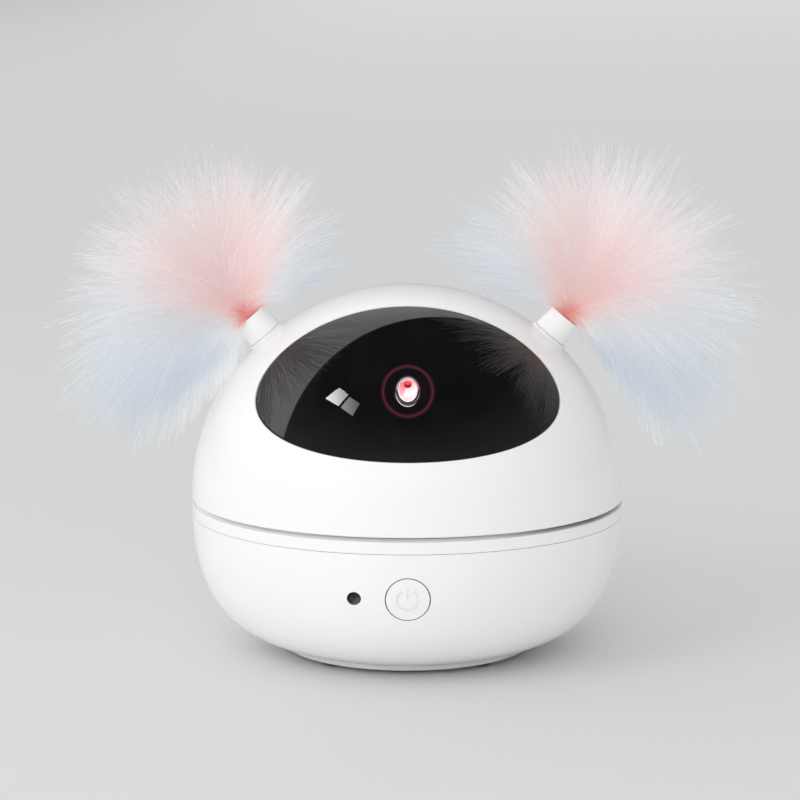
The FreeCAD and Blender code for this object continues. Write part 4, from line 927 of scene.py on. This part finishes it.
@dataclass
class EarTuft:
    """One ear's spray of down: strands that leave the collar's mouth and spread over a wide fan."""

    side: Side
    seed: int
    mouth: Vector
    axis: Vector
    shading_strands: int = 560
    strands_in_piece: int = 5000
    segments: int = 6
    corners: int = 3
    mouth_radius: float = 0.0024
    sink: float = 0.0014
    crown_thinning: Rise = Rise(42.0, 78.0, 0.60)
    depth_spread: float = math.radians(64.0)
    depth_crowding: float = 1.25
    depth_shortening: float = 0.14
    stiffness: float = 0.60
    tint_reach: float = 0.050
    angle_scatter: float = 5.0
    reach_scatter: float = 0.002
    pink_middle: float = 14.0
    pink_width: Rise = Rise(24.0, 66.0)
    pink_reach: Rise = Rise(0.014, 0.060)
    root_pink: float = 0.9
    root_width: Rise = Rise(58.0, 88.0)
    root_reach: Rise = Rise(0.0015, 0.0065)
    low_blue: tuple[Rise, ...] = (Rise(10.0, 45.0, 0.4), Rise(48.0, 82.0, 0.6))
    low_end: Rise = Rise(92.0, 106.0)
    low_fading: Rise = Rise(0.034, 0.050, 0.25)
    crown_blue: tuple[Rise, ...] = (Rise(52.0, 80.0, 0.45), Rise(86.0, 98.0, 0.45))
    rim_blue: Rise = Rise(0.026, 0.044, 0.60)
    rim_side: Rise = Rise(-45.0, 5.0)
    blue_start: Rise = Rise(0.004, 0.013)

    def frame(self) -> tuple[np.ndarray, np.ndarray, np.ndarray]:
        """Lay the fan's own frame.

        Returns:
            The collar's axis, the direction up and inwards across it, and the direction to the back.
        """
        axis = np.array(self.axis)
        back = np.array([0.0, 1.0, 0.0])
        inward = np.cross(axis, back)
        return axis, inward if inward[2] > 0 else -inward, back

    def guides(self, count: int, rng: np.random.Generator) -> tuple[np.ndarray, np.ndarray]:
        """Random directions in the fan, and the reach of the down along each.

        The angle in the ears' plane thins out towards the crown, and the angle in depth is a power of an
        even random number, so that the fan is densest in its plane; the reach shortens with its square.

        Args:
            count: How many.
            rng: The random numbers.

        Returns:
            Unit vectors, one row each, and their reaches.
        """
        axis, inward, back = self.frame()
        angles, reaches = REACH[self.side]
        places = np.linspace(angles[0], angles[-1], 400)
        filled = np.cumsum(1.0 - self.crown_thinning.at(places))
        angle = np.interp(rng.uniform(filled[0], filled[-1], count), filled, places)
        even = rng.uniform(-1.0, 1.0, count)
        depth = np.sign(even) * np.abs(even) ** self.depth_crowding
        reach = np.interp(angle, angles, reaches) * (1.0 - self.depth_shortening * depth ** 2)
        turn, tilt = np.radians(angle)[:, None], (depth * self.depth_spread)[:, None]
        flat = np.cos(turn) * axis + np.sin(turn) * inward
        return np.cos(tilt) * flat + np.sin(tilt) * back, reach * rng.uniform(0.86, 1.0, count)

    def paths(self, hair: Hair, rng: np.random.Generator) -> np.ndarray:
        """Centre lines of all strands of a kind.

        A strand is a quadratic curve from the mouth to its tip. It starts between the axis and its own
        direction, leans to its clump's direction towards its tip, and wanders sideways.

        Args:
            hair: The kind of strand.
            rng: The random numbers.

        Returns:
            Places by strand and segment.
        """
        axis, inward, back = self.frame()
        count = hair.strands
        guides, reaches = self.guides(hair.clumps, rng)
        own_guide = rng.integers(0, hair.clumps, count)
        guide = guides[own_guide]
        length = reaches[own_guide] * rng.uniform(hair.shortest ** 2, hair.longest ** 2, count) ** 0.5
        direction = unit(guide + rng.normal(0.0, hair.clump_width, (count, 3)))
        share = np.linspace(0.0, 1.0, self.segments + 1)[None, :, None]
        start = unit(axis + (direction - axis) * self.stiffness)[:, None, :]
        lean = hair.clump_pull * share ** 1.5
        heading = unit((1.0 - lean) * direction[:, None, :] + lean * guide[:, None, :])
        sideways = np.cross(direction, unit(rng.normal(0.0, 1.0, (count, 3))))
        bend = sideways[:, None, :] * hair.wander * rng.normal(0.0, 1.0, count)[:, None, None]
        curve = start * share * (1.0 - share) + (heading + bend) * share ** 2
        turn = rng.uniform(0.0, 2.0 * math.pi, count)
        out = self.mouth_radius * np.sqrt(rng.uniform(0.0, 1.0, count))
        foot = out[:, None] * (np.cos(turn)[:, None] * inward + np.sin(turn)[:, None] * back)
        sunk = np.array(self.mouth) - axis * self.sink
        return sunk + foot[:, None, :] + length[:, None, None] * curve

    def tubes(self, points: np.ndarray, radius: np.ndarray,
              tip_share: np.ndarray) -> tuple[np.ndarray, np.ndarray]:
        """Thin tapering tubes of three sides along centre lines.

        Each row of a tube is its centre plus the radius there times the cosine of an even turn along one
        direction across the line and its sine along the other; the radius falls evenly to the tip.

        Args:
            points: Places by strand and segment.
            radius: Each strand's radius at its root.
            tip_share: Each strand's radius at its tip over that at its root.

        Returns:
            The tubes' points and faces.
        """
        count, rows = points.shape[:2]
        along = unit(np.gradient(points, axis=1))
        side = unit(np.cross(along, np.array([0.31, 0.52, 0.79])))[:, :, None, :]
        other = np.cross(along[:, :, None, :], side)
        turn = (np.arange(self.corners) * 2.0 * math.pi / self.corners)[None, None, :, None]
        share = np.linspace(0.0, 1.0, rows)[None, :]
        thick = radius[:, None] * (1.0 - (1.0 - tip_share[:, None]) * share)
        skin = points[:, :, None, :] + thick[:, :, None, None] * (np.cos(turn) * side + np.sin(turn) * other)
        number = np.arange(count * rows * self.corners).reshape(count, rows, self.corners)
        lower, upper = number[:, :-1], number[:, 1:]
        quads = np.stack([lower, np.roll(lower, -1, axis=2), np.roll(upper, -1, axis=2), upper], axis=-1)
        return skin.reshape(-1, 3), quads.reshape(-1, 4)

    def tints(self, points: np.ndarray, hair: Hair, rng: np.random.Generator) -> np.ndarray:
        """The strands' attribute: distance from the mouth over 50 mm, blueness, pinkness and own shade.

        Pinkness falls with the angle from the dyed core's middle direction and with the distance from the
        mouth. Blueness fills the fan's lower and inner ends and its upper rim.

        Args:
            points: Places by strand and segment.
            hair: The kind of strand.
            rng: The random numbers.

        Returns:
            Four values by strand and segment.
        """
        axis, inward, back = self.frame()
        offset = points - (np.array(self.mouth) - 0.003 * axis)
        ahead, across, deep = offset @ axis, offset @ inward, offset @ back
        away = np.hypot(np.hypot(ahead, across), 0.6 * deep) - 0.003
        own = rng.normal(0.0, 1.0, (len(points), 1))
        angle = np.degrees(np.arctan2(across, ahead)) + self.angle_scatter * own
        aside = np.abs(angle - self.pink_middle)
        core = hair.dye_share * (1.0 - self.pink_width.at(aside))
        core *= 1.0 - self.pink_reach.at(away + self.reach_scatter * own)
        root = self.root_pink * (1.0 - self.root_reach.at(away)) * (1.0 - self.root_width.at(aside))
        pinkness = np.maximum(core, root)
        low = sum(rise.at(-angle) for rise in self.low_blue)
        low *= (1.0 - self.low_fading.at(away)) * (1.0 - self.low_end.at(-angle))
        crown = sum(rise.at(angle) for rise in self.crown_blue)
        rim = self.rim_blue.at(away) * self.rim_side.at(angle)
        blueness = np.maximum(np.maximum(low, crown), rim) * self.blue_start.at(away)
        shade = np.broadcast_to(rng.uniform(*hair.shade, (len(points), 1)), away.shape)
        return np.stack([away / self.tint_reach, blueness, pinkness, shade], axis=-1).astype(np.float32)

    def build(self, fibre: bpy.types.Material) -> list[bpy.types.Object]:
        """Make the tuft's pieces and hang them on the ear.

        Down lets light through, so only the first piece's strands hold it back. Gloss shows the guard hairs.

        Args:
            fibre: The fibres' material.

        Returns:
            The pieces.
        """
        rng = np.random.default_rng(self.seed)
        kinds = (UNDERDOWN, GUARD_HAIR)
        paths = [self.paths(hair, rng) for hair in kinds]
        tint = np.concatenate([self.tints(points, hair, rng) for points, hair in zip(paths, kinds)])
        radius = np.concatenate([hair.radius * rng.uniform(0.75, 1.3, hair.strands) for hair in kinds])
        tip_share = np.concatenate([np.full(hair.strands, hair.tip_share) for hair in kinds])
        points = np.concatenate(paths)
        side = self.side.name.lower()
        pieces = []
        down = UNDERDOWN.strands
        bounds = [0, *range(self.shading_strands, down, self.strands_in_piece), down, len(points)]
        for number, (first, last) in enumerate(zip(bounds, bounds[1:]), 1):
            some = slice(first, last)
            skin = self.tubes(points[some], radius[some], tip_share[some])
            piece = add_mesh(f"{side}_ear_down_{number}", *skin)
            stored = piece.data.attributes.new(TuftFibre.attribute, "FLOAT_COLOR", "POINT")
            stored.data.foreach_set("color", np.repeat(tint[some], self.corners, axis=1).ravel())
            piece.data.materials.append(fibre)
            piece.visible_shadow = piece.visible_diffuse = number == 1
            piece.visible_glossy = first == down
            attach(piece, f"{side}_ear")
            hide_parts(f"{side}_ear_tuft")
            pieces.append(piece)
            log.info("%s: %d strands", piece.name, last - first)
        return pieces


# ---- Studio ----


@dataclass(frozen=True)
class Pane:
    """One bright window pane that only gloss sees: its corners, and its light on the side of the first."""

    name: str
    corners: tuple[Point, ...]
    light: float


@dataclass(frozen=True)
class SoftLamp:
    """A square soft lamp: its place, what it points at, its side and its power."""

    name: str
    place: Point
    target: Point
    size: float
    watts: float


@dataclass
class Studio:
    """Pale floor, soft lamps and the camera."""

    eye: Point = (-0.001888, -0.8005, 0.1957)
    tilt_down: float = 0.163
    lens: float = 143.12
    sensor: float = 36.0
    floor_size: float = 12.0
    surround: float = 0.635
    middle: float = 0.70
    far: float = 0.71
    far_left: float = 0.54
    unlit_from: tuple[float, float] = (0.16, 0.60)
    middle_depth: tuple[float, float] = (0.0, 0.8)
    far_depth: tuple[float, float] = (0.9, 5.5)
    left_fade: tuple[float, float] = (-0.75, 0.05)
    bounce: float = 0.90
    ambient: float = 0.77
    leftward: float = 0.16
    canopy_reach: float = 3.0
    pale_side: Point = (0.4969, -0.8278, 0.2604)
    pale_edge: float = -0.178
    pale_light: tuple[float, float] = (2.15, 1.38)
    pale_turn: tuple[float, float] = (-0.85, -0.2)
    pale_end: tuple[float, float] = (0.70, 0.86)
    pale_rise: tuple[float, float] = (0.10, 0.42)
    dark_level: float = 0.04
    pane_fade: float = 0.45
    horizon: float = 0.38
    low_dark: float = 0.30
    high_dark: float = 0.85
    panes: tuple[Pane, ...] = (
        Pane("left_pane", ((-1.653, -0.525, 2.198), (-1.363, -0.451, 2.404), (-1.229, -0.764, 2.397),
                           (-1.467, -0.92, 2.2)), 18.0),
        Pane("right_pane", ((-1.427, -0.982, 2.2), (-1.213, -0.828, 2.384), (-1.031, -1.122, 2.349),
                            (-1.215, -1.328, 2.145)), 6.0),
    )
    lamps: tuple[SoftLamp, ...] = (
        SoftLamp("key_lamp", (-1.1, -1.0, 0.85), (0.0, 0.0, 0.06), 0.9, 6.1),
        SoftLamp("front_lamp", (-0.1, -1.3, 0.70), (0.0, 0.0, 0.03), 0.6, 3.5),
    )

    def camera(self) -> None:
        """Set the camera."""
        data = bpy.data.cameras.new("camera")
        data.lens = self.lens
        data.sensor_width = self.sensor
        data.clip_end = 50.0
        made = bpy.data.objects.new("camera", data)
        made.location = self.eye
        made.rotation_euler = (math.pi / 2 - self.tilt_down, 0.0, 0.0)
        bpy.context.scene.collection.objects.link(made)
        bpy.context.scene.camera = made

    def floor(self) -> None:
        """Lay the floor: lit near the object, where it takes the shadow, and pale grey light of its own far
        away, with painted shade that makes it darker behind the object and far to the left.
        """
        half = self.floor_size
        points = np.array([[-half, -half, 0.0], [half, -half, 0.0], [half, half, 0.0], [-half, half, 0.0]])
        made = add_mesh("floor", points, np.array([[0, 1, 2, 3]]))
        recipe = Recipe("floor_paint")
        place = recipe.place()
        far = recipe.vector("LENGTH", place, output="Value").step(*self.unlit_from)
        rays = recipe.node("ShaderNodeLightPath", {}, {})
        kinds = ("Is Camera Ray", "Is Glossy Ray", "Is Transmission Ray", "Is Diffuse Ray")
        camera, gloss, through, bounced = (Signal(recipe, rays.outputs[kind]) for kind in kinds)
        speckle = recipe.noise(600.0, 3.0)
        paint = recipe.blend(bounced, recipe.blend(speckle, grey(0.70), grey(0.73)), grey(self.bounce))
        lit = recipe.read("ShaderNodeBsdfPrincipled", {}, {
            "Base Color": paint, "Roughness": 0.7 + speckle * 0.1}, "BSDF")
        aside, depth = (recipe.axis(place, letter) for letter in "XY")
        # Painted shade: the far floor is darker behind the object and to the left.
        middle = recipe.blend(depth.step(*self.middle_depth), grey(self.middle), grey(self.surround))
        back = recipe.blend(aside.step(*self.left_fade), grey(self.far_left), grey(self.far))
        away = recipe.shine(recipe.blend(depth.step(*self.far_depth), middle, back))
        share = (far * (camera + gloss + through)).clamped()
        mixed = recipe.read("ShaderNodeMixShader", {}, {"Fac": share, 1: lit, 2: away}, "Shader")
        made.data.materials.append(recipe.close(mixed))

    def world(self) -> None:
        """Fill the surroundings with pale light, a little brighter on the left than on the right."""
        world = bpy.data.worlds.new("surround")
        world.use_nodes = True
        tree = world.node_tree
        background = tree.nodes["Background"]
        background.inputs["Strength"].default_value = 1.0
        split = tree.nodes.new("ShaderNodeSeparateXYZ")
        tree.links.new(tree.nodes.new("ShaderNodeTexCoord").outputs["Generated"], split.inputs["Vector"])
        level = tree.nodes.new("ShaderNodeMath")
        level.operation = "MULTIPLY_ADD"
        level.inputs[1].default_value = -self.ambient * self.leftward
        level.inputs[2].default_value = self.ambient
        tree.links.new(split.outputs["X"], level.inputs[0])
        tree.links.new(level.outputs["Value"], background.inputs["Color"])
        bpy.context.scene.world = world

    def canopy(self) -> None:
        """Hang a dark canopy that only gloss sees, with a paler side behind on the left.

        It is half a ball: by turn and rise, X and Y are the cosine of the rise times the cosine and the
        sine of the turn, and Z is the sine of the rise.
        """
        turns, rises = np.meshgrid(np.linspace(0.0, 2.0 * math.pi, 65), np.linspace(0.0, math.pi / 2, 25))
        level = np.cos(rises)
        ball = np.stack([level * np.cos(turns), level * np.sin(turns), np.sin(rises)], axis=-1)
        number = np.arange(turns.size).reshape(turns.shape)
        corners = [number[:-1, :-1], number[1:, :-1], number[1:, 1:], number[:-1, 1:]]
        faces = np.stack(corners, axis=-1).reshape(-1, 4)
        made = add_mesh("canopy", ball.reshape(-1, 3) * self.canopy_reach, faces)
        recipe = Recipe("canopy_cloth")
        heading = recipe.vector("NORMALIZE", recipe.place())
        ahead = recipe.vector("DOT_PRODUCT", heading, self.pale_side, output="Value")
        pale = ahead.step(self.pale_edge + 0.01, self.pale_edge - 0.01)
        aside, behind, height = (recipe.axis(heading, letter) for letter in "XYZ")
        low = grey(self.horizon)
        dark = recipe.blend(height.step(self.low_dark, self.high_dark), low, grey(self.dark_level))
        bright = recipe.blend(aside.step(*self.pale_turn), *(grey(light) for light in self.pale_light))
        bright = recipe.blend(behind.step(*self.pale_end), bright, low)
        colour = recipe.blend(pale * height.step(*self.pale_rise), dark, bright)
        made.data.materials.append(recipe.close(recipe.shine(colour)))
        self.only_in_gloss(made)

    def windows(self) -> None:
        """Hang the window panes, each fading from its first corner's side to its third's."""
        for pane in self.panes:
            made = add_mesh(pane.name, np.array(pane.corners), np.array([[0, 1, 2, 3]]))
            recipe = Recipe(f"{pane.name}_light")
            side = recipe.axis(recipe.place(), "X").step(pane.corners[0][0], pane.corners[2][0])
            level = recipe.blend(side, grey(pane.light), grey(pane.light * self.pane_fade))
            made.data.materials.append(recipe.close(recipe.shine(level)))
            self.only_in_gloss(made)

    @staticmethod
    def only_in_gloss(made: bpy.types.Object) -> None:
        """Let a piece of the studio show only in reflections.

        Args:
            made: The piece.
        """
        for ray in ("camera", "diffuse", "transmission", "volume_scatter", "shadow"):
            setattr(made, f"visible_{ray}", False)

    @staticmethod
    def light(lamp: SoftLamp) -> None:
        """Hang a lamp, which gloss doesn't show.

        Args:
            lamp: The lamp.
        """
        data = bpy.data.lights.new(lamp.name, "AREA")
        data.size = lamp.size
        data.energy = lamp.watts
        made = bpy.data.objects.new(lamp.name, data)
        made.visible_glossy = False
        made.location = lamp.place
        sight = Vector(lamp.target) - Vector(lamp.place)
        made.rotation_euler = sight.to_track_quat("-Z", "Y").to_euler()
        bpy.context.scene.collection.objects.link(made)

    def build(self) -> None:
        """Set up the whole studio."""
        self.camera()
        self.floor()
        self.world()
        self.canopy()
        self.windows()
        for lamp in self.lamps:
            self.light(lamp)
        bpy.context.scene.view_settings.view_transform = "Standard"
        log.info("studio: camera, floor, world, canopy, %d panes, %d lamps", len(self.panes), len(self.lamps))


def dress_nodes(nodes: dict[str, bpy.types.Object]) -> None:
    """Give every CAD node its finish.

    Args:
        nodes: The CAD nodes by name.
    """
    for finish, names in FINISHES:
        material = finish.build()
        for name in names.split():
            for place in nodes[name].material_slots:
                place.material = material
        log.info("finish %s: %d nodes", finish.name, len(names.split()))


def raise_tuft(joint: dict, fibre: bpy.types.Material) -> None:
    """Build the tuft of the ear that a joint pulls off, from the middle of its collar's mouth.

    Args:
        joint: The joint's row in the frame.
        fibre: The fibres' material.
    """
    side = Side[joint["child"].split("_")[0].upper()]
    axis = Vector(joint["axis"]).normalized()
    low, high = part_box(f"{side.name.lower()}_ear_collar")
    middle = (low + high) / 2
    corner = Vector((high.x if side is Side.LEFT else low.x, middle.y, high.z))
    mouth = middle + axis * ((corner - middle).dot(axis) - MOUTH_DROP)
    EarTuft(side, SEEDS[side], mouth, axis).build(fibre)


def main() -> None:
    """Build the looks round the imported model."""
    logging.basicConfig(level=logging.INFO, format="%(name)s %(message)s")
    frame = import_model()
    nodes = frame["nodes"]
    Studio().build()
    dress_nodes(nodes)
    fibre = TuftFibre().build()
    for joint in frame["joints"]:
        if joint["name"].endswith("_ear_pull"):
            raise_tuft(joint, fibre)


if __name__ == "__main__":
    main()
